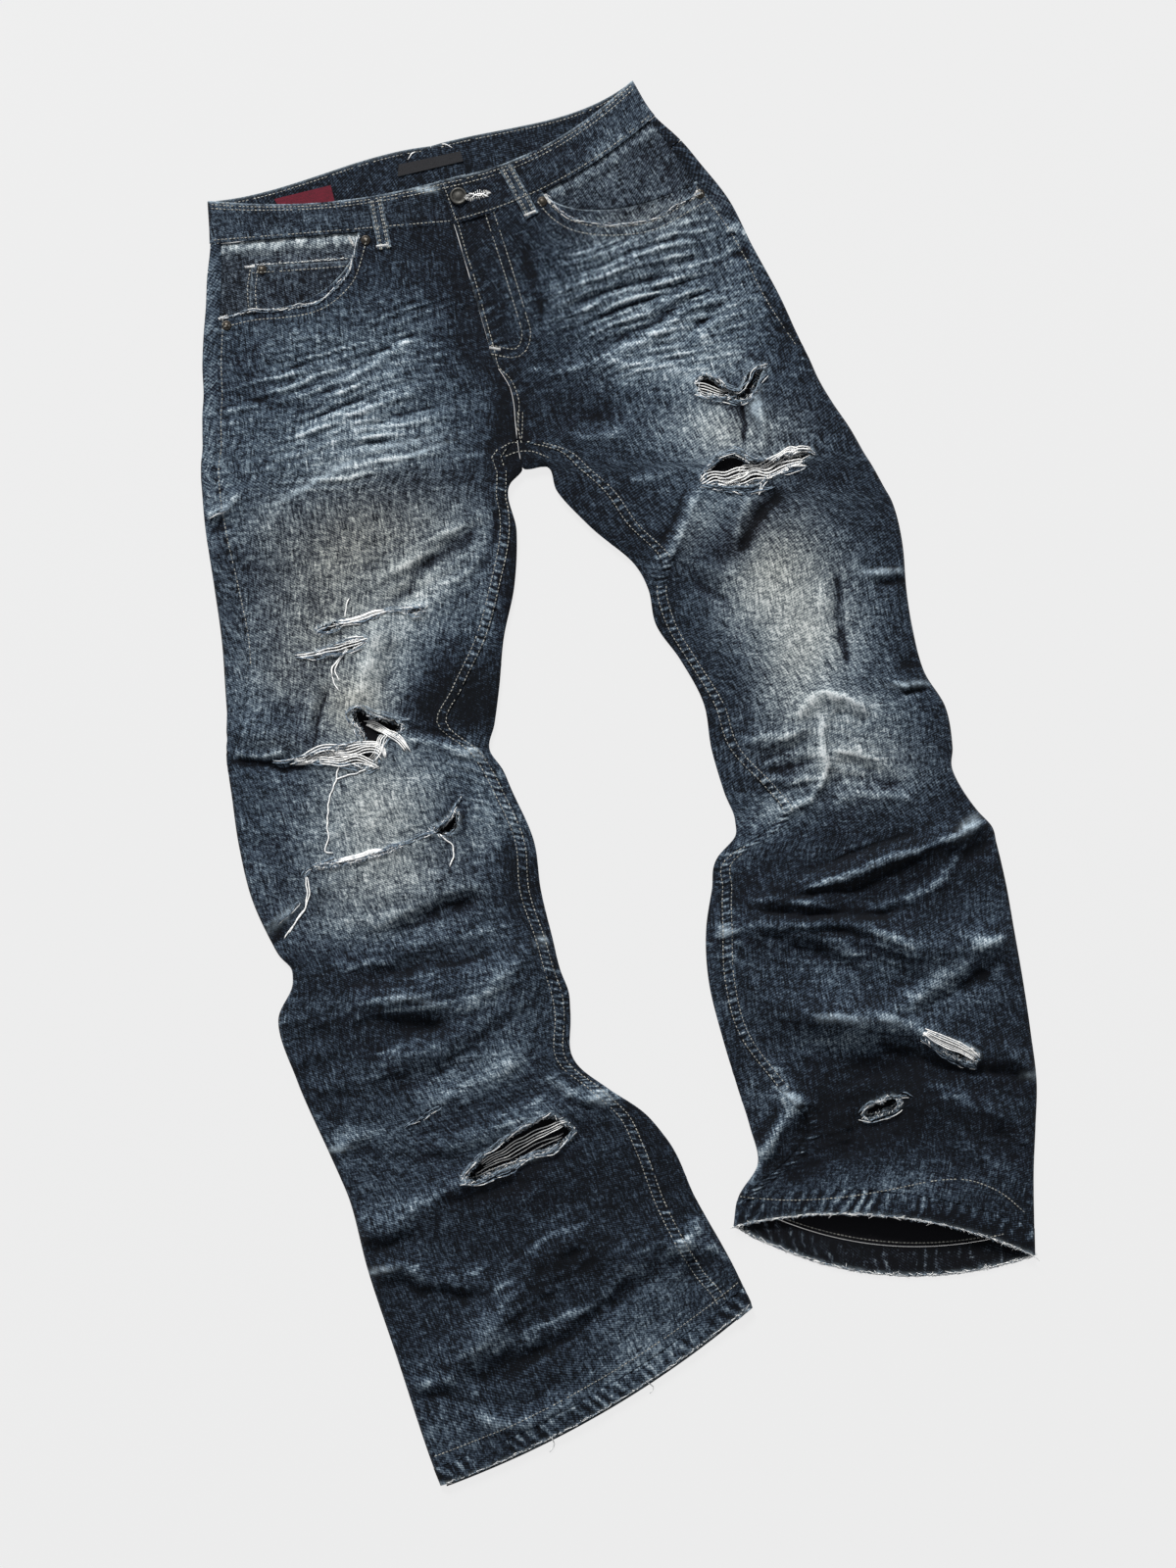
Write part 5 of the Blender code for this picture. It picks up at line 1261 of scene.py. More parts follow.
def backStrip(leg, s, u):
    width = leg.width(s)
    _, inseam = leg.seams(s)
    start = width - np.maximum(inseam, 1.0) + 0.05
    return start + (width - start) * u


def backUnder(leg, s, u):
    # the layer beneath, then round the outer edge on to the top
    width = leg.width(s)
    outseam, _ = leg.seams(s)
    share = leg.outerShare
    flat = width + (width - 4) * u / share
    over = 2 * width - 4 + (outseam - 0.05 + 4) * (u - share) / (1 - share)
    return np.where(u <= share, flat, over)


def backDetail(leg, plan, onTop, s, around):
    width = leg.width(s)
    outseam, inseam = leg.seams(s)
    toIn = np.abs(around - (width - np.maximum(inseam, 0)))
    toOut = np.abs(2 * width + outseam - around)
    fine = np.where(onTop, creaseRelief(plan, leg.creases)[0] + crumpleRelief(plan, leg.side), 0)
    below = s > leg.station("crotch point")
    seams = pucker(toOut, s, 9.0, 6.0, 0.45, 40) + np.where(below, pucker(toIn, s, 9.5, 8.0, 0.55, 50), 0)
    groove = -0.9 * bell(toOut, 1.6) - np.where(below, 0.9 * bell(toIn, 1.6), 0)
    height = np.where(onTop, fine + seams + groove, 0)
    return {"height": height, "wear": np.where(onTop, fine / 2.4 + seams * 1.5, 0), "tone": -0.02}


def yokeDrop(leg, around, width):
    return 27.0 + 35.0 * np.clip((2 * width - around) / width, 0, 1)


def backPlan(leg, yoke):
    # rows that start or end along the yoke seam, and level out at the fly's end
    def plan(u, v):
        atLevel = np.full(len(u), leg.station("fly end"))
        width = leg.width(atLevel)
        around = backUnder(leg, atLevel, u)
        top = yokeDrop(leg, around, width)
        start, end = (seamGap / 2, top - 0.4) if yoke else (top + 0.4, atLevel)
        s = start + (end - start) * v
        out, outLevel = leg.seams(s)[0] - 0.05, leg.seams(atLevel)[0] - 0.05
        here = leg.width(s)
        moved = np.where(around <= 2 * width, around * here / width, 2 * here + (around - 2 * width) * out / outLevel)
        spots, onTop = leg.place(s, moved, False)
        onTop &= moved > here * 1.5
        return spots, onTop, s, moved

    return plan


def makeBack(side):
    leg = legs[side]
    leg.creases = rightCreases if side == "right" else leftCreases
    columns, edge = 46, 12
    leg.outerShare = 1 - edge / columns
    rows = panelRows(leg, leg.station("hem top") - 0.2, 2.4)
    below = rows[rows >= leg.station("fly end")]
    below = np.concatenate([[leg.station("fly end")], below[1:]])
    stripRows = rows[rows >= leg.station("crotch point")]
    patches = [
        {"leg": leg, "rows": range(46), "columns": columns, "plan": backPlan(leg, False)},
        {"leg": leg, "rows": below, "columns": columns, "across": backUnder, "beneath": True},
        {"leg": leg, "rows": stripRows, "columns": 22, "across": backStrip},
    ]
    name = f"back_panel_{side}"
    piece = clothPiece(name, patches, panelShade, cloth["wall"], detail=backDetail, material=denim)
    patches = [{"leg": leg, "rows": range(22), "columns": columns, "plan": backPlan(leg, True)}]
    clothPiece(f"yoke_{side}", patches, panelShade, cloth["wall"], detail=backDetail, material=denim)
    print(name, len(piece.data.polygons), "faces")


for side in ("right", "left"):
    makeFront(side)
    makeBack(side)
print("panels made")

# hems, turned up twice and puckered by their stitching
hem = {"pitch": 10.5, "ridge": 0.9, "peek": 2.6}


def hemDetail(leg, plan, onTop, s, around):
    toEnd = leg.station("hem") - s
    drift = 3 * patchNoise(around, toEnd, 26, 70)
    bars = np.sin(2 * pi * (around + 0.5 * toEnd) / hem["pitch"] + drift)
    bars = bars * (0.7 + 0.6 * patchNoise(around, s * 0 + 5, 16, 71)) + 0.3 * patchNoise(around, toEnd, 7, 73)
    fine = np.where(onTop, creaseRelief(plan, leg.creases)[0], 0)
    height = hem["ridge"] * 0.5 * bars - 0.8 * bell(toEnd, 1.4) - 0.9 * bell(s - leg.station("hem top"), 1.5) + fine
    wornAndShaded = 0.4 * bell(toEnd, 2.0) * (0.6 + 0.8 * patchNoise(around, s * 0, 9, 72))
    # the left hem lies in shadow at its outer end, and the layers beneath at their turned-up edge
    shadow = -0.3 * (leg.side > 0) * smoothStep(plan[:, 0], 215, 300) * smoothStep(-toEnd, -16, -6)
    tone = np.where(onTop, shadow, -0.09 - 0.3 * bell(s - leg.station("hem top"), 2.5))
    wear = bars * 1.2 + fine / 2.2
    return {"height": np.where(onTop, height, 0), "wear": wear, "white": np.clip(wornAndShaded, 0, 1), "tone": tone}


def makeHems(side):
    leg = legs[side]
    rows = np.linspace(leg.station("hem top") + 0.1, leg.station("hem"), 14)
    leg.columns, leg.outerShare = 130, 1 - 12 / 90
    front = {"leg": leg, "rows": rows, "columns": leg.columns, "across": frontAcross}
    common = {"detail": hemDetail, "material": (denim, hemInsideShaded), "closed": True}
    clothPiece(f"hem_front_{side}", [front], panelShade, cloth["hemWall"], **common)
    rows = rows + (hem["peek"] if side == "right" else 0) * np.linspace(0, 1, 14) ** 2
    beneath = {"leg": leg, "rows": rows, "columns": 90, "across": backUnder, "beneath": True}
    strip = {"leg": leg, "rows": rows, "columns": 16, "across": backStrip}
    clothPiece(f"hem_back_{side}", [beneath, strip], panelShade, cloth["hemWall"], 0.3, **common)


for side in ("right", "left"):
    makeHems(side)
print("hems made")

# pocket facings and the coin pocket
pocket = {"under": 10.0, "coinSide": 38.0, "coinTop": 21.0, "drop": 1.5}


def facingAcross(leg, s, u):
    start = leg.seams(s)[0] + 0.1
    return start + (leg.mouthReach(s) + pocket["under"] - start) * u


def facingDetail(leg, plan, onTop, s, around):
    seam = pucker(s, plan[:, 0] * 0.95, 6.0, 7.0, 0.45, 80)
    roping = 1.0 * bell(s - 8 - 3 * patchNoise(plan[:, 0], s * 0, 22, 81), 4.5) - 0.8 * bell(s - 15.5, 4)
    edge = -1.4 * bell(leg.mouthReach(s) - around + 1, 5.0)
    crumple = crumpleRelief(plan, leg.side)
    side = pucker(np.abs(around - leg.seams(s)[0]), s, 8.0, 6.0, 0.4, 82)
    height = seam + roping + edge + crumple * 0.6 + side
    tone = (0.36 if leg.side < 0 else 0.1) * bell(s - 4, 10) * (1 + patchNoise(plan[:, 0], s, 9, 86))
    return {"height": height, "wear": roping * 0.4 + crumple * 0.3 + seam + side, "tone": tone}


def facingShade(side):
    pale, dust = (0.25, 0.3) if side == "right" else (0.27, 0.2)

    def shade(plan, onTop):
        cloud = 0.06 * patchNoise(plan[:, 0], plan[:, 1], 20, 83)
        # darker near the leg's edge: painted shade, as on the panels
        return pale - 0.05 - 0.12 * np.exp(-edgeGap(plan) / 22) + cloud, np.full(len(plan), dust)

    return shade


def coinAcross(leg, s, u):
    return pocket["coinSide"] + (leg.mouthReach(s) - 0.6 - pocket["coinSide"]) * u


def coinDetail(leg, plan, onTop, s, around):
    toTop, toSide = s - pocket["coinTop"], around - pocket["coinSide"]
    border = -0.8 * bell(toTop, 1.2) - 0.8 * bell(toSide, 1.2) + 0.35 * (1 - smoothStep(toTop, 7, 9))
    border = border - 0.8 * bell(toTop - 8.5, 1.1)
    seam = pucker(toTop, around, 6.5, 9.0, 0.5, 84)
    crumple = crumpleRelief(plan, leg.side)
    white = 0.15 * bell(toTop, 1.3) + 0.2 * bell(toSide, 1.1)
    wear = seam + crumple * 0.3 + 0.3 * bell(toTop - 3, 4)
    return {"height": border + seam + crumple * 0.5, "wear": wear, "white": white}


for side in ("right", "left"):
    leg = legs[side]
    rows = np.linspace(seamGap / 2 + 0.3, leg.mouth[1] + seamGap, 40)
    patch = {"leg": leg, "rows": rows, "columns": 64, "across": facingAcross}
    name = f"pocket_facing_{side}"
    clothPiece(name, [patch], facingShade(side), cloth["wall"], -pocket["drop"], facingDetail, material=denim)
turns = np.linspace(0.3120, 1.309, 34)
coinRows = seamGap / 2 + right.mouth[1] * np.sin(turns) ** (2 / mouths["power"])
pocket["coinTop"] = coinRows[0]
patch = {"leg": right, "rows": coinRows, "columns": 60, "across": coinAcross}
clothPiece("coin_pocket", [patch], plainShade(0.15, 0.2), cloth["wall"], 0.1, coinDetail, material=denim)

# waistband, the left end lapped over the right one
band = {
    "lift": 0.5, "endLift": 1.4, "end": 24.0, "ramp": 14.0, "clear": 8.0, "wrap": 5.0,
    "run": (0.966, 0.259), "edge": 1.5, "puckerPitch": 5.5,
}


def bandPlan(leg):
    def plan(u, v):
        s = leg.stations[0] + (-seamGap / 2 - leg.stations[0]) * v
        width = leg.width(s)
        end = width if leg.side > 0 else width + band["end"]
        around = -band["wrap"] + (end + band["wrap"]) * u
        beyond = np.maximum(around - width, 0)
        spots, onTop = leg.place(s, around - beyond)
        return spots + beyond[:, None] * np.array(band["run"]), onTop, s, around

    return plan


def bandDetail(leg, plan, onTop, s, around):
    toEnd = plan[:, 0] - (centreWaist[0] + (plan[:, 1] - centreWaist[1]) * centreUp[0] / centreUp[1])
    level = band["end"] if leg.side > 0 else band["clear"]
    step = 1 - smoothStep(toEnd * leg.side, level, level + band["ramp"])
    lift = np.where(onTop, step * band["endLift"] * leg.side, 0.0)
    top, foot = s - leg.stations[0], -s
    low = pucker(foot, around, band["puckerPitch"], 8.0, 0.6, 90)
    high = pucker(top, around, 8.0, 5.0, 0.3, 92)
    wave = 0.5 * patchNoise(around, s * 2, 34, 93) + 0.35 * patchNoise(around * 0.7, s * 2, 12, 94)
    height = low + high + wave - 0.7 * bell(top, band["edge"]) - 0.7 * bell(foot, band["edge"])
    if leg.side > 0:
        height = height - 0.7 * bell(leg.width(s) - around, band["edge"])
    wear = low * 0.8 + high * 0.7 + wave * 0.4 + 0.3 * bell(top, 2.0) + 0.25 * bell(foot - 4, 5)
    white = 0.45 * bell(top, 1.2) * (0.6 + patchNoise(around, s, 11, 95))
    wornAndShaded = 0  # a bright spot where the right end rubs by the button
    if leg.side < 0:
        wornAndShaded = bell(plan[:, 0] + 168, 10) * bell(plan[:, 1] - 515, 2.4) * (0.7 + 0.8 * patchNoise(around, s, 4, 99))
    return {"height": height, "lift": lift, "wear": wear, "white": np.clip(white + wornAndShaded, 0, 1)}


def bandShade(plan, onTop):
    x = plan[:, 0]
    tone = 0.20 + 0.08 * patchNoise(x, plan[:, 1], 30, 96) - 0.17 * bell(x + 130, 80)
    tone += 0.07 * smoothStep(x, -60, 0) + 0.1 * bell(x - 55, 20)
    return np.where(onTop, tone, 0.18), np.full(len(plan), 0.05)


def backBandPlan(leg):
    def plan(u, v):
        s = leg.stations[0] * (1 - v) - sideGap / 2 * v
        width = leg.width(s)
        around = width + (width - band["wrap"] - 1.7) * u
        spots, _ = leg.place(s, around, True)
        return spots, np.zeros(len(u), bool), s, around

    return plan


def backBandDetail(leg, plan, onTop, s, around):
    wave = 0.4 * patchNoise(around, s, 26, 97) + 0.2 * patchNoise(around, s, 9, 98)
    top = s - leg.stations[0]
    return {"lift": 0.6 + wave, "wear": wave * 0.6 + 0.5 * bell(top, 1.5), "white": 0.35 * bell(top, 1.2)}


for side in ("right", "left"):
    leg = legs[side]
    patch = {"leg": leg, "rows": np.linspace(0, 1, 28), "columns": 190, "plan": bandPlan(leg)}
    name = f"waistband_front_{side}"
    looks = {"material": (denim, denimInside), "closed": True}
    clothPiece(name, [patch], bandShade, cloth["bandWall"], band["lift"], bandDetail, **looks)
rows = np.linspace(0, 1, 24)
patches = [{"leg": leg, "rows": rows, "columns": 120, "plan": backBandPlan(leg)} for leg in (right, left)]
looks = {"slot": "denim_inside", "material": (denim, bandInside), "closed": True}
clothPiece("waistband_back", patches, plainShade(0.05), cloth["bandWall"], 0, backBandDetail, **looks)
print("waistband made")

# loops, labels, the placket and the back pockets, which are strips and patches of their own
loops = {
    "front_right": (-211, 506, -203, 464), "front_left": (-98, 534, -75, 492),
    "back_right": (-262, 521, -255, 474), "back_centre": (-164, 552, -151, 504), "back_left": (-62, 572, -38, 529),
}
loopLook = {"width": 11.5, "wall": 1.2, "over": 9.2, "down": 8.1, "leave": 0.72, "reach": 0.86, "back": 0.6}


def flatPiece(name, columns, rows, placeAt, wall, material, slot="denim", tone=0.2, detail=None):
    # a grid of its own: placeAt gives x, y and z in millimetres of the middle of the cloth, for u and v from 0 to 1
    mesh = gridMesh(name, [(columns, rows, 1)])
    u, v, _ = pointsOf(mesh).T
    x, y, z = placeAt(u, v)
    found = {"tone": tone, "tan": 0, "wear": 0, "white": 0, **(detail(u, v) if detail else {})}
    marks = {key: np.zeros(len(u)) + value for key, value in found.items()}
    uv = np.column_stack([u * np.ptp(x), v * np.ptp(y)]) * mm
    layOut(mesh, np.column_stack([x + shift[0], y + shift[1], z]) * mm, uv, marks)
    finishCloth(mesh, wall, closed=True)
    return addPiece(name, mesh, material, slot)


def makeLoop(name, startX, startY, endX, endY):
    start, run = np.array([startX, startY], float), np.array([endX - startX, endY - startY], float)
    across = np.array([-run[1], run[0]]) / hypot(*run) * loopLook["width"] / 2

    def placeAt(u, v):
        spots = start + run * (1 - v)[:, None] + across * (1 - 2 * u)[:, None]
        if name.startswith("front"):
            sunk = smoothStep(1 - v, loopLook["leave"], loopLook["reach"])
            z = loopLook["over"] + (loopLook["down"] - loopLook["over"]) * sunk
        else:
            z = np.full(len(u), loopLook["back"] + 0.1)
        rim = np.minimum(u, 1 - u) * loopLook["width"]
        crown = 0.35 * bell(rim - 2.5, 1.6) - 0.35 * bell(rim, 0.8)
        return spots[:, 0], spots[:, 1], z + (crown if name.startswith("front") else 0)

    def detail(u, v):
        rim = np.minimum(u, 1 - u) * loopLook["width"]
        wornAndShaded = bell(rim, 1.3)
        return {"wear": 0.6 * wornAndShaded + 0.8 * np.sin(v * 60) * bell(rim - 2, 2), "white": 0.12 * wornAndShaded}

    flatPiece(f"loop_{name}", 12, 40, placeAt, loopLook["wall"], (denim, denimInside), tone=0.24, detail=detail)


for name, ends in loops.items():
    makeLoop(name, *ends)

labels = {
    "main": ((-192, 526.5), (-135, 540), (-137.5, 548.5), (-191, 537)),
    "size": ((-290, 492), (-246, 503), (-250, 519), (-299, 507)),
}
placket = ((-139, 480), (-113, 494), (-84, 388), (-107, 362))


def makeCornerPiece(name, corners, base, wall, material, slot, columns=26, rows=10):
    a, b, c, d = [np.array(corner, float) for corner in corners]

    def placeAt(u, v):
        u, v = u[:, None], v[:, None]
        spots = (a * (1 - u) + b * u) * (1 - v) + (d * (1 - u) + c * u) * v
        z = base(spots) if callable(base) else base + 0.12 * patchNoise(spots[:, 0], spots[:, 1], 14, 99)
        return spots[:, 0], spots[:, 1], z

    flatPiece(name, columns, rows, placeAt, wall, material, slot)


labelLevel = cloth["hipBottom"] - cloth["wall"] / 2 + cloth["bandWall"] + 0.3 + 0.4
makeCornerPiece("label_main", labels["main"], labelLevel, 0.6, (labelBlack, labelBlack), "label_black")
makeCornerPiece("label_size", labels["size"], labelLevel, 0.6, (labelRed, labelRed), "label_red")


def placketLevel(spots):
    return heights(spots, np.ones(len(spots), bool)) - pocket["drop"] - 0.4


makeCornerPiece("fly_placket", placket, placketLevel, cloth["wall"], (denim, denimInside), "denim", 14, 50)

backPocket = {"width": 148, "height": 158, "point": 18, "taper": 5, "drop": 88, "inward": 0.54, "level": 0.7, "wall": 1.2}


def makeBackPocket(side):
    leg = legs[side]
    at = np.array([float(backPocket["drop"])])
    middle = leg.place(at, (2 - backPocket["inward"]) * leg.width(at), True)[0][0]
    outer, inner, _ = leg.ends(at + backPocket["height"] / 2)
    run = (outer - inner)[0] / hypot(*(inner - outer)[0]) * leg.side

    def placeAt(u, v):
        across, down = 2 * u - 1, v
        x = across * (backPocket["width"] / 2 - backPocket["taper"] * down)
        y = down * (backPocket["point"] - backPocket["height"] - backPocket["point"] * (1 - np.abs(across)))
        z = backPocket["level"] + 0 * x
        return middle[0] + x * run[0] - y * run[1], middle[1] + x * run[1] + y * run[0], z

    def detail(u, v):
        rim = np.minimum(np.minimum(u, 1 - u) * backPocket["width"], np.minimum(v, 1 - v) * backPocket["height"])
        ropes = 0.5 * np.sin((u + v) * 90) * bell(rim - 4, 4)
        return {"wear": 0.9 * bell(rim, 3.0) + ropes, "white": 0.3 * bell(rim, 1.5)}

    flatPiece(f"back_pocket_{side}", 40, 42, placeAt, backPocket["wall"], (denim, denimInside), tone=0.34, detail=detail)


for side in ("right", "left"):
    makeBackPocket(side)

# button and rivets, spun from their profiles
button = {
    "place": (-139.0, 508.7), "base": 10.0,
    "profile": (
        (0, 0), (5.0, 0), (7.2, 0.7), (7.5, 1.3), (7.2, 1.9), (6.5, 2.4),
        (5.9, 2.3), (5.5, 1.7), (4.2, 1.5), (3.0, 1.7), (1.6, 2.2), (0, 2.3),
    ),
}
rivet = {
    "base": 7.5,
    "profile": (
        (0, 0), (4.1, 0), (4.3, 0.4), (3.9, 0.8), (3.1, 0.9), (2.6, 0.8), (2.1, 1.0), (1.6, 1.6), (0.8, 1.9), (0, 1.9),
    ),
    "waist_right": (-219.5, 471.0), "coin": (-309.5, 445.5), "side_right": (-340.0, 397.0),
    "waist_left": (-66.5, 504.5), "side_left": (70.0, 511.0),
}


def spunPiece(name, place, base, profile, material, slot, steps):
    work = bmesh.new()
    rim = [work.verts.new((r * mm, 0, z * mm)) for r, z in profile]
    line = [work.edges.new(pair) for pair in zip(rim[:-1], rim[1:])]
    bmesh.ops.spin(work, geom=rim + line, cent=(0, 0, 0), axis=(0, 0, 1), angle=2 * pi, steps=steps, use_merge=True)
    bmesh.ops.remove_doubles(work, verts=work.verts, dist=1e-6)
    bmesh.ops.recalc_face_normals(work, faces=work.faces)
    top = max(z for _, z in profile) * mm
    wear = work.verts.layers.float.new("wear")
    for vert in work.verts:
        vert[wear] = 0.9 * (vert.co.z / top) ** 2
    spot = ((place[0] + shift[0]) * mm, (place[1] + shift[1]) * mm, base * mm)
    bmesh.ops.translate(work, verts=work.verts, vec=spot)
    mesh = asMesh(name, work)
    mesh.shade_smooth()
    mesh.set_sharp_from_angle(angle=0.9)
    addPiece(name, mesh, material, slot)


spunPiece("waist_button", button["place"], button["base"], button["profile"], wornNickel, "worn_nickel", 40)
for name in ("waist_right", "coin", "side_right", "waist_left", "side_left"):
    spunPiece(f"rivet_{name}", rivet[name], rivet["base"], rivet["profile"], agedMetal, "aged_metal", 24)
print("small pieces made")

# stitches, bartacks, loose threads and frayed edges, laid on the finished cloth
def clothTree():
    # every face of the cloth pieces, to find how high the cloth lies at a place
    spots, faces, start = [], [], 0
    for piece in pieces.values():
        spots.append(pointsOf(piece.data))
        faces += [tuple(i + start for i in face.vertices) for face in piece.data.polygons]
        start += len(spots[-1])
    return BVHTree.FromPolygons(np.vstack(spots).tolist(), faces)


surface = clothTree()


def drop(x, y):
    # height and slope of the topmost cloth at a place, in millimetres
    hit, normal, _, _ = surface.ray_cast(Vector(((x + shift[0]) * mm, (y + shift[1]) * mm, 0.1)), Vector((0, 0, -1)))
    return (hit.z / mm, normal) if hit else (0.6, Vector((0, 0, 1)))


def onto(x, y, z):
    return Vector(((x + shift[0]) * mm, (y + shift[1]) * mm, z * mm))


def shifted(path, offset):
    # the path moved sideways, to its left where positive
    run = np.gradient(path, axis=0)
    run /= np.maximum(np.linalg.norm(run, axis=1), 1e-9)[:, None]
    return path + offset * np.column_stack([-run[:, 1], run[:, 0]])


def evenly(path, pitch):
    # places at an even pitch along a path, with the way it runs there
    steps = np.linalg.norm(np.diff(path, axis=0), axis=1)
    along = np.concatenate([[0], np.cumsum(steps)])
    at = np.arange(pitch / 2, along[-1], pitch)
    spots = np.column_stack([np.interp(at, along, path[:, k]) for k in (0, 1)])
    ahead, behind = [np.column_stack([np.interp(at + by, along, path[:, k]) for k in (0, 1)]) for by in (0.5, -0.5)]
    run = ahead - behind
    return spots, run / np.maximum(np.linalg.norm(run, axis=1), 1e-9)[:, None]


stitch = {"pitch": 3.4, "length": 2.5, "width": 0.85, "rise": 0.55}
threads = np.random.default_rng(12)


def sideLine(leg, share):
    # the stitches beside the side seam, from under the pocket to a share of the way down
    first, last = leg.mouth[1] + 3, leg.station("hem top") * share
    s = np.linspace(first, last, int((last - first) / 6))
    return nudged(leg.place(s, 3.2 + np.maximum(leg.seams(s)[0], 0))[0])


def inseamLines(leg):
    s = np.linspace(leg.station("crotch point") + 6, leg.station("hem top"), 130)
    inseam = np.maximum(leg.seams(s)[1], 0)
    return [nudged(leg.place(s, leg.width(s) - inseam - inward)[0]) for inward in (1.8, 9.6)]


def roundLine(leg, at, first, last, count, beneath=False):
    # a line round one section: first and last are shares of its width from the outer edge, over 1 beneath
    s = np.full(count, at)
    return leg.place(s, leg.width(s) * np.linspace(first, last, count), beneath)[0]


def hemLine(leg, up, beneath=False, first=0.01, last=0.99):
    return roundLine(leg, leg.station("hem") - up, first + beneath, last + beneath, 80, beneath)


def makeStitches(name, rows, finish):
    # one small rounded bar for each stitch, sunk a little into the cloth
    work = bmesh.new()
    for path in rows:
        spots, runs = evenly(path, stitch["pitch"])
        for (x, y), (rx, ry) in zip(spots, runs):
            if threads.random() < 0.03:
                continue
            z, normal = drop(x, y)
            along = Vector((rx, ry, 0))
            along = (along - normal * along.dot(normal)).normalized()
            turned = Matrix((along, normal.cross(along), normal)).transposed().to_4x4()
            width = stitch["width"] * mm * threads.uniform(0.85, 1.15)
            size = Matrix.Diagonal((stitch["length"] * mm, width, stitch["rise"] * mm, 1))
            made = bmesh.ops.create_cube(work, size=1, matrix=Matrix.Translation(onto(x, y, z)) @ turned @ size)
            for vert in made["verts"]:
                if (vert.co - onto(x, y, z)).dot(normal) > 0:
                    vert.co = vert.co.lerp(onto(x, y, z), 0.30)
    finishThreads(name, work, finish)


def finishThreads(name, work, finish):
    for face in work.faces:
        face.smooth = True
    mesh = asMesh(name, work)
    mesh.materials.append(finish)
    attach(addObject(name, mesh), "root")
    print(name, len(mesh.polygons), "faces")


def double(points, gap):
    path = smoothPath(points)
    return [path, shifted(path, gap)]


leftHemRow = smoothPath(
    (104, -358, 147, -361, 193, -358, 235, -351, 271, -344, 299, -343, 320, -349, 336, -358, 352, -372),
)
leftHemInside = hemLine(left, 25.4, True, 0.16, 0.9)
rightInseam, leftInseam = inseamLines(right), inseamLines(left)
# the left inseam goes under a fold in two places and stops at the pinch above its hem
shownParts = (190, 400), (-26, 175), (-268, -54)
unfolded = [line[(line[:, 1] > low) & (line[:, 1] < top)] for line in leftInseam for low, top in shownParts]

flyEdge = smoothPath((
    -143.3, 486.6, -135.6, 459.5, -128, 435.7, -118.6, 401.7, -112.2, 378.7, -107, 359,
    -97, 349, -90.5, 333.7, -90, 321.7, -90.5, 306.5, -88, 295.4,
))
jInner = smoothPath((-116, 494.3, -102.5, 452.7, -88, 405.9, -84, 389, -89.7, 377, -110, 379.6))
rightMouth = (
    -225.7, 474.8, -231.7, 452.7, -237.6, 438.2, -252, 423.7, -266.5, 416, -286.9, 411.9, -316.7, 409.3, -343, 403.4,
)
leftMouth = (-63.4, 510.5, -53.2, 498.6, -38.7, 489.2, -18.3, 485, 3, 485, 25.9, 488.4, 43.8, 496.9, 70, 512.5)
thighUpper = smoothPath((-102.5, 290.3, -93.9, 295.4, -88.3, 295.7, -75.3, 296.3))
thighLower = smoothPath((-99, 283.5, -87, 287.7, -74.4, 287.7, -61.3, 282.7))
coinTop = (-319, 449.5, -280, 452, -235, 455.5)
coinSide = (-319, 449.5, -322, 430, -321, 410.5)
waistRows = double(jInner, 7.4) + double(rightMouth, 7.6)
waistRows += [shifted(smoothPath(leftMouth), offset) for offset in (-2.0, -9.4)]
waistRows += [shifted(flyEdge, 3.4), thighUpper, thighLower] + double((-87.6, 322.5, -87.8, 310, -88.5, 297.5), 4.2)
waistRows += double(coinTop, -7.0) + double(coinSide, 7.0)
for leg in (right, left):
    for at, inward in ((leg.stations[0] + 3.0, 0), (leg.stations[0] + 6.6, 0), (-seamGap / 2 - 2.6, 2)):
        width = leg.width(np.array([at]))[0]
        waistRows.append(roundLine(leg, at, 2 / width, 1 - inward / width, 60))
    if leg.side > 0:
        s = np.linspace(leg.stations[0] + 2, -3, 12)
        waistRows.append(leg.place(s, leg.width(s) - 2.4)[0])
    waistRows.append(roundLine(leg, leg.stations[0] + 3.5, 1.04, 1.94, 70, True))
for name in ("front_right", "front_left"):
    waistRows += [shifted(smoothPath(loops[name]), offset) for offset in (-3.9, -2.4, 2.4, 3.9)]
makeStitches("stitches_right_leg", rightInseam + [hemLine(right, 24.5), sideLine(right, 0.36)], stitchThread)
makeStitches("stitches_left_leg", unfolded + [leftHemRow, leftHemInside, sideLine(left, 0.2)], stitchThread)
makeStitches("stitches_waist", waistRows, stitchThread)


# Bars of close zigzag stitches: middle, length, width and direction
bartacks = [
    (-107.5, 377, 9, 2.2, -10), (-205, 466, 10, 2.2, 6), (-77, 494, 10, 2.2, 22),
    (-320, 448, 8, 2.2, 4), (-232, 470, 8, 2.2, -60), (-62, 507, 8, 2.2, -60), (66, 510, 8, 2.2, 60),
    (-343, 404, 8, 2.2, 20),
]
buttonhole = {"middle": (-122.5, 509.5), "length": 17.0, "turn": 14.0, "reach": 2.4}


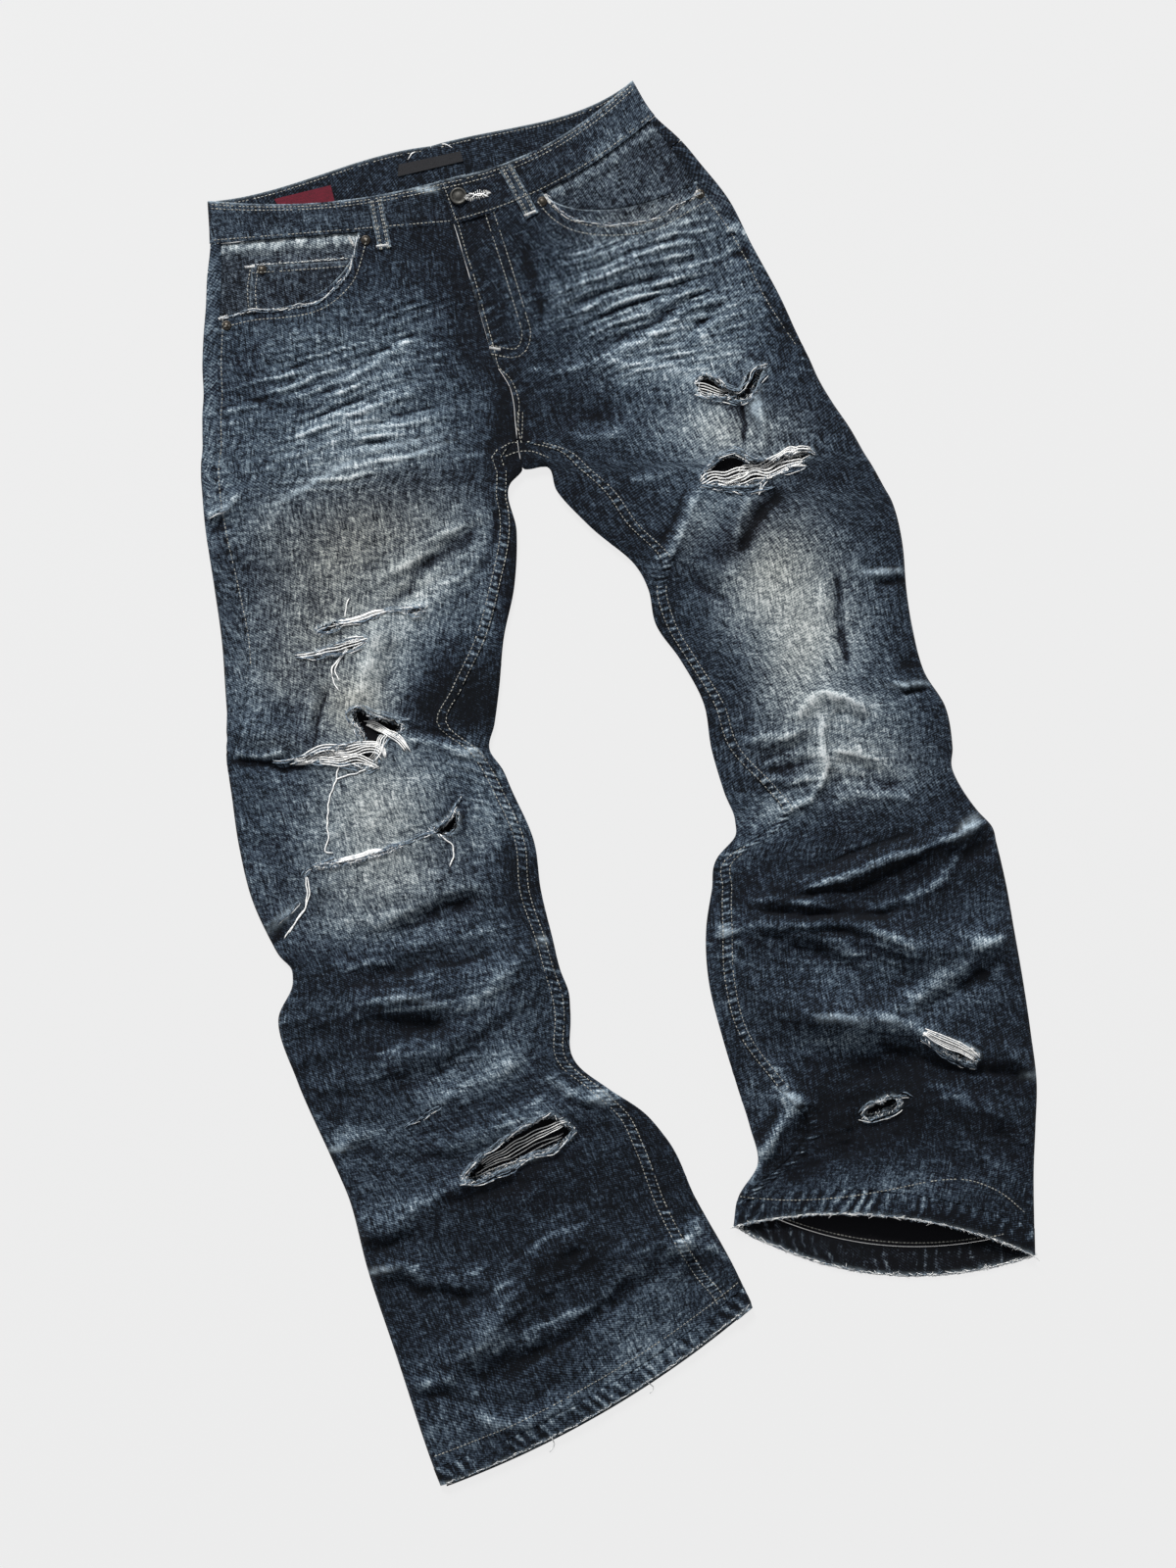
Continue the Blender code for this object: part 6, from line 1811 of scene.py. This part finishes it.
def tube(work, points, radius, sides=4, fade=0.6):
    # a thin round thread through the points, in millimetres, that tapers a little at its ends
    rings = []
    points = [Vector(p) for p in points]
    for i, spot in enumerate(points):
        run = points[min(i + 1, len(points) - 1)] - points[max(i - 1, 0)]
        run = run.normalized() if run.length > 1e-6 else Vector((1, 0, 0))
        side = run.cross(Vector((0, 0, 1)))
        side = side.normalized() if side.length > 1e-3 else Vector((1, 0, 0))
        up = side.cross(run)
        thick = radius * (fade if i in (0, len(points) - 1) else 1)
        ring = [spot + (side * cos(2 * pi * k / sides) + up * sin(2 * pi * k / sides)) * thick for k in range(sides)]
        rings.append([work.verts.new(onto(*place)) for place in ring])
    for a, b in zip(rings[:-1], rings[1:]):
        for k in range(sides):
            work.faces.new((a[k], a[(k + 1) % sides], b[(k + 1) % sides], b[k]))
    work.faces.new(rings[0][::-1])
    work.faces.new(rings[-1])


def resting(path, lift):
    # points of a plan path laid on the cloth, with the height smoothed so that a thread doesn't jump
    z = np.array([drop(x, y)[0] for x, y in path])
    kernel = np.array([0.25, 0.5, 0.25])
    for _ in range(2):
        z = np.maximum(z, np.convolve(np.pad(z, 1, "edge"), kernel, "valid"))
    return [(x, y, level + lift) for (x, y), level in zip(path, z)]


def makeBartacks():
    work = bmesh.new()
    for x, y, length, width, turn in bartacks:
        c, s = cos(radians(turn)), sin(radians(turn))
        count = int(length / 0.8)
        for k in range(count):
            t = (k / (count - 1) - 0.5) * length
            ends = [(x + c * t - s * w, y + s * t + c * w) for w in (-width / 2, width / 2)]
            tube(work, resting(ends, 0.25), 0.42, 4)
    c, s = cos(radians(buttonhole["turn"])), sin(radians(buttonhole["turn"]))
    for k in range(34):
        turn = 2 * pi * k / 34
        t, w = cos(turn) * buttonhole["length"] / 2, sin(turn) * 1.2
        reach = buttonhole["reach"] * threads.uniform(0.7, 1.5)
        out = (t + cos(turn) * reach, w + sin(turn) * reach)
        x, y = buttonhole["middle"]
        ends = [(x + c * a - s * b, y + s * a + c * b) for a, b in ((t, w), out)]
        tube(work, resting(ends, 0.3), 0.36, 4)
    finishThreads("bartacks", work, paleThread)


makeBartacks()

# Threads left across and beside the rips: how many, how far they spread, how thick, how wavy, and the route
strands = [
    (6, 11, 0.58, 1.6, -281, 19.5, -262, 25, -240, 29, -222, 31.5, -208, 29, -203, 22),
    (4, 7, 0.6, 1.6, -262, 19, -242, 20, -225, 20, -213, 17, -207, 14),
    (5, 6, 0.62, 1.6, -222, 52, -211, 49, -201, 46, -192, 40, -183, 26),
    (4, 6, 0.58, 1.6, -226, 17, -214, 20, -208, 29, -206, 40, -200, 46),
    (4, 3.4, 0.66, 0.9, -243, 140, -230, 142, -218, 145, -207, 149, -200, 151),
    (3, 2.8, 0.6, 0.5, -181, 147.5, -174, 149.5, -170, 151),
    (2, 2.6, 0.6, 1, -279, 111, -262, 113, -246, 116, -232, 121, -218, 124),
    (2, 2.6, 0.5, 1, -242, 121, -230, 125, -218, 127),
    (4, 2.8, 0.62, 0.8, -246, -67, -236, -65, -222, -62, -206, -56),
    (4, 8, 0.5, 1.2, -118, -332, -104, -322, -84, -312, -64, -300, -46, -294),
    (2, 4, 0.5, 1, -127, -341, -108, -333, -88, -324, -66, -313, -48, -304),
    (4, 7, 0.5, 1.4, 66, 343, 74, 343, 84, 341, 93, 338),
    (4, 9, 0.6, 2.2, 72, 259, 84, 266, 97, 268, 109, 270, 120, 273),
    (5, 10, 0.66, 3, 100, 267, 116, 271, 130, 278, 146, 283, 160, 287),
    (4, 8, 0.62, 2.6, 86, 262, 104, 264, 122, 268, 142, 275, 162, 277),
    (3, 5, 0.6, 1.2, 146, 283, 156, 289, 166, 290),
    (6, 8.5, 0.6, 0.6, 263, -214, 280, -222, 297, -230, 311, -238),
]
# Rolled and worn edges, dyed yarn with a little white in it: strands, spread, thickness and the route
lips = [
    (2, 2.4, 0.44, -262, 132, -252, 136, -243, 139, -230, 140.5, -217, 144, -206, 149, -192, 151, -178, 153, -168, 153),
    (1, 1.6, 0.4, -262, 131, -250, 132, -238, 137, -218, 142, -205, 147, -190, 149, -178, 146, -168, 148),
    (1, 1.8, 0.4, -281, 111, -264, 113, -250, 119, -238, 123, -222, 127),
    (2, 2.2, 0.44, -281, 110, -262, 109, -248, 111, -234, 114, -221, 119),
    (2, 3.6, 0.48, -236, 60, -232, 65, -226, 68, -219, 66, -212, 61, -203, 59, -190, 57, -181, 57),
    (2, 2.4, 0.44, -235, 63, -234, 55, -229, 47, -226, 38),
    (2, 2.6, 0.44, -226, 37, -236, 33, -250, 30, -266, 24, -283, 20, -300, 20),
    (2, 4, 0.48, -197, 41, -203, 33, -207, 24, -210, 15),
    (2, 4.2, 0.46, -206, 15, -216, 12, -228, 14, -240, 15, -252, 18, -270, 18),
    (3, 3, 0.5, -274, -81, -269, -74, -262, -70, -250, -67, -238, -65.5, -224, -63, -205, -58, -190, -52,
     -172, -46, -161, -42, -152, -34, -143, -22, -137, -12),
    (2, 3.6, 0.46, -138, -341, -124, -327, -110, -315, -96, -305, -82, -296, -68, -288, -56, -284),
    (4, 5.6, 0.46, -137, -344, -120, -345, -104, -338, -90, -331, -74, -322, -58, -317, -44, -308, -38, -301),
    (2, 2.6, 0.44, 64, 348, 74, 355, 85, 352, 93, 345, 104, 341, 112, 349, 116, 358, 128, 364),
    (2, 3.4, 0.44, 66, 338, 78, 333, 92, 332, 108, 330, 117, 336, 122, 347, 128, 354),
    (2, 3.6, 0.46, 71, 266, 79, 277, 88, 284, 101, 289, 114, 283, 126, 281),
    (4, 5, 0.48, 68, 259, 84, 257, 100, 255, 114, 254, 128, 256, 134, 259),
    (2, 2.4, 0.4, 140, 268, 152, 271, 164, 275),
    (3, 4, 0.44, 261, -220, 272, -228, 284, -236, 297, -243, 310, -247),
    (1, 2.4, 0.4, 208, -286, 216, -279, 230, -273, 246, -269, 254, -272),
    (1, 2.6, 0.36, 208, -291, 216, -294, 226, -290, 240, -285, 250, -279),
    (2, 3, 0.4, -187, -300, -178, -293, -166, -287, -154, -281),
    (1, 1.4, 0.32, *rightMouth),
    (1, 1, 0.28, *leftMouth),
    (2, 3.2, 0.4, -298, -124, -292, -117, -284, -110, -276, -104),
    (2, 3.6, 0.4, -355, 230, -348, 235, -338, 239),
]
loose = [
    (0.5, -237, 143, -236.5, 152, -234, 160),
    (0.62, -235, 120, -240, 110, -248, 101, -249, 93),
    (0.5, -233, 120, -240, 109, -246, 99, -241, 88),
    (0.5, -249, 93, -246, 86, -243, 80),
    (0.55, -243, 15, -246, 0, -251, -14, -252.5, -32, -252, -50, -255, -58, -248, -60),
    (0.5, -219, 12, -232, 8, -246, 4),
    (0.55, -156, -43, -150, -49, -144, -54, -143, -64, -147, -72),
    (0.55, -272, -80, -270, -94, -272, -108, -283, -124, -290, -134),
    (0.5, -271, -80, -268, -92, -270, -104, -279, -118, -286, -130),
    (0.4, -229, 54, -225, 46, -221, 38, -221, 33),
    (0.45, 128, 262, 124, 256, 121, 250, 124, 262),
    (0.5, 152, 283, 157, 285, 157, 280, 153, 279),
    (0.5, -58, -567, -56, -574, -60, -580),
    (0.45, 24, -519, 30, -524, 27, -530),
    (0.4, -183.5, 542, -180, 546, -176.5, 548),
    (0.4, -154, 554.5, -149, 554, -145, 552),
    (0.5, -130, 512, -122, 509, -116, 512),
    (0.5, -128, 507, -120, 511, -113, 508),
]


def stretches(count, ragged):
    # the whole strand, or lengths of it where it has worn through
    at = int(threads.integers(0, 2))
    if not ragged:
        return [slice(at, count - int(threads.integers(0, 2)))]
    cuts = []
    while at < count - 2:
        last = min(at + int(threads.integers(3, 8)), count)
        cuts.append(slice(at, last))
        at = last + int(threads.integers(-1, 3))
    return cuts


def layStrands(work, table, ragged=False):
    for count, spread, radius, wave, *route in table:
        path = smoothPath(route, 2.6)
        share = np.linspace(0, 1, len(path))
        run = np.gradient(path, axis=0)
        run /= np.linalg.norm(run, axis=1)[:, None]
        side = np.column_stack([-run[:, 1], run[:, 0]])
        ends = [drop(*path[0])[0], drop(*path[-1])[0]]
        gather = 0.4 + 0.6 * np.sin(pi * np.clip(share, 0.02, 0.98)) ** 0.6
        turn = threads.uniform(0, 6)
        for k in range(count):
            level = (k / max(count - 1, 1) - 0.5) * spread
            drift = patchNoise(share * len(path) * 2.6, np.full(len(path), k * 3.7), 15, 200 + count)
            common = np.sin(share * len(path) * 0.42 + turn) * wave * 0.7
            spots = path + (level * gather + common + drift * wave)[:, None] * side
            under = np.array([drop(x, y)[0] for x, y in spots])
            bridge = ends[0] + (ends[1] - ends[0]) * share - 0.7
            z = np.maximum(bridge, under) + radius * 0.6 + threads.uniform(0, 1.2) + 0.5 * np.abs(drift)
            places = np.column_stack([spots, z])
            for cut in stretches(len(path), ragged):
                here = places[cut] + (threads.normal(0, 0.35, 3) if ragged else 0)
                tube(work, here + threads.normal(0, 0.22, here.shape) * ragged, radius * threads.uniform(0.8, 1.1), 5)


def makeStrands():
    white, dyed = bmesh.new(), bmesh.new()
    layStrands(white, strands)
    layStrands(dyed, [(count + 1, spread, radius, 1.2, *route) for count, spread, radius, *route in lips], True)
    layStrands(white, [(1, spread, radius * 0.8, 1.6, *route) for _, spread, radius, *route in lips], True)
    finishThreads("rip_threads", white, paleThread)
    finishThreads("worn_edges", dyed, blueThread)
    work = bmesh.new()
    for radius, *route in loose:
        path = smoothPath(route, 2.2)
        x, y = path.T
        path = path + np.column_stack([patchNoise(y, x, 7, 210), patchNoise(x, y, 7, 211)])
        tube(work, resting(path, radius * 0.9), radius * 1.2, 5)
    finishThreads("loose_threads", work, paleThread)


makeStrands()


def fringe(work, path, pitch, length, radius, outward, spread=0.9):
    # short ends of yarn standing out of an edge: outward is how strongly they lean to the left of the path
    spots, runs = evenly(path, pitch)
    for (x, y), (rx, ry) in zip(spots, runs):
        x, y = x + threads.normal(0, 0.5), y + threads.normal(0, 0.5)
        lean = threads.normal(0, spread)
        way = np.array([-ry * outward + rx * lean, rx * outward + ry * lean])
        reach = length * threads.uniform(0.4, 1.4)
        curl = threads.normal(0, 0.5, 2) * reach * 0.4
        path3 = [(x - way[0] * 0.8, y - way[1] * 0.8), (x + way[0] * reach * 0.5, y + way[1] * reach * 0.5)]
        path3.append((x + way[0] * reach + curl[0], y + way[1] * reach + curl[1]))
        z = max(drop(*path3[0])[0], drop(*path3[1])[0] if outward < 0.5 else 0)
        z = z + threads.uniform(-0.2, 0.5)
        places = [(*path3[0], z), (*path3[1], z + threads.uniform(0, 0.7)), (*path3[2], z + threads.uniform(-0.2, 0.8))]
        tube(work, places, radius, 3)


def makeFringes():
    pale, blue = bmesh.new(), bmesh.new()
    for outline in rightRips + leftRips:
        path = smoothPath(outline + outline[:2], 1.5)
        for work, pitch, length in ((pale, 1.3, 2.2), (blue, 0.8, 2.4)):
            fringe(work, path, pitch, length, 0.36, 0.6, 0.9)
            fringe(work, shifted(path, -1.6), pitch, length, 0.34, -0.5, 1.1)
    for line, pitch, length in (
        (hemLine(right, 0.4), 1.5, 2.2), (hemLine(left, 0.0), 0.7, 4.4), (hemLine(left, -0.6, True), 0.7, 5.0),
        (smoothPath(rightMouth), 1.0, 1.5), (smoothPath(coinTop), 1.2, 1.6), (smoothPath(leftMouth), 2.0, 1.1),
    ):
        fringe(pale, line, pitch, length, 0.3, 0.2, 1.0)
        fringe(blue, line, pitch * 1.4, length, 0.3, 0.2, 1.0)
    finishThreads("fray_pale", pale, paleThread)
    finishThreads("fray_blue", blue, blueThread)


makeFringes()
print("threads made")

# floor and light
def makeFloor():
    work = bmesh.new()
    bmesh.ops.create_grid(work, x_segments=1, y_segments=1, size=3.0)
    bmesh.ops.translate(work, verts=work.verts, vec=(0, 0, -0.0004))
    mesh = asMesh("floor", work)
    material, _, surface = newMaterial("floor", 0.9)
    surface.inputs["Base Color"].default_value = linear(50, 50, 50)
    surface.inputs["Emission Color"].default_value = linear(238, 238, 238)
    surface.inputs["Emission Strength"].default_value = 0.93
    mesh.materials.append(material)
    addObject("floor", mesh)


def areaLight(name, place, aim, size, energy):
    light = bpy.data.lights.new(name, "AREA")
    light.shape, light.size, light.energy = "SQUARE", size, energy
    lamp = addObject(name, light)
    lamp.location = place
    lamp.rotation_euler = (Vector(aim) - Vector(place)).to_track_quat("-Z", "Y").to_euler()


makeFloor()
areaLight("key", (-1.7, 5.4, 3.7), (0.0, 0.0, 0.0), 1.9, 870.0)
world = bpy.data.worlds.new("soft")
bpy.context.scene.world = world
world.use_nodes = True
world.node_tree.nodes["Background"].inputs["Color"].default_value = (0.86, 0.88, 0.91, 1)
world.node_tree.nodes["Background"].inputs["Strength"].default_value = 0.53
bpy.context.scene.view_settings.view_transform = "Standard"
print("floor and lights made")

# the flat cut of every sheet: piece, width and length in millimetres, share of that rectangle, what it lies on,
# what goes with it. A name that ends in an underscore stands for a right and a left one
cuts = [
    ("front_panel_", 300, 1085, 0.74, "back_panel_", {"right": ("rip_threads", "worn_edges", "loose_threads")}),
    ("back_panel_", 340, 1060, 0.75, "floor", {}),
    ("yoke_", 215, 62, 0.79, "floor", {}),
    ("hem_front_", 262, 26, 1.0, "hem_back_", {"right": ("fray_pale",), "left": ("fray_blue",)}),
    ("hem_back_", 270, 26, 1.0, "floor", {}),
    ("pocket_facing_", 150, 70, 0.72, "back_panel_", {}),
    ("coin_pocket", 98, 34, 0.85, "pocket_facing_right", {}),
    ("waistband_front_right", 236, 38, 1.0, "waistband_back", {}),
    ("waistband_front_left", 205, 38, 1.0, "waistband_back", {"": ("stitches_waist", "bartacks")}),
    ("waistband_back", 392, 38, 1.0, "floor", {}),
    ("fly_placket", 130, 32, 0.96, "back_panel_right", {}),
    ("back_pocket_", 150, 160, 0.92, "back_panel_", {}),
    ("label_main", 59, 10, 1.0, "waistband_back", {}),
    ("label_size", 51, 18, 1.0, "waistband_back", {}),
    ("loop_front_", 50, 12, 1.0, "waistband_front_", {}),
    *(("loop_back_" + where, 50, 12, 1.0, "waistband_back", {}) for where in ("right", "centre", "left")),
]
named = {**{piece.name: piece for piece in bpy.data.objects}, **pieces}
for name, width, length, share, below, going in cuts:
    for side in ("right", "left") if name.endswith("_") else ("",):
        others = going.get(side, ())
        if name == "front_panel_":
            others = (f"stitches_{side}_leg", *others)
        withPieces = [named[other] for other in others]

shown = [piece.data for piece in bpy.data.objects if piece.type == "MESH" and not piece.hide_render]
total = sum(len(face.vertices) - 2 for mesh in shown for face in mesh.polygons)
print("triangles shown:", total)
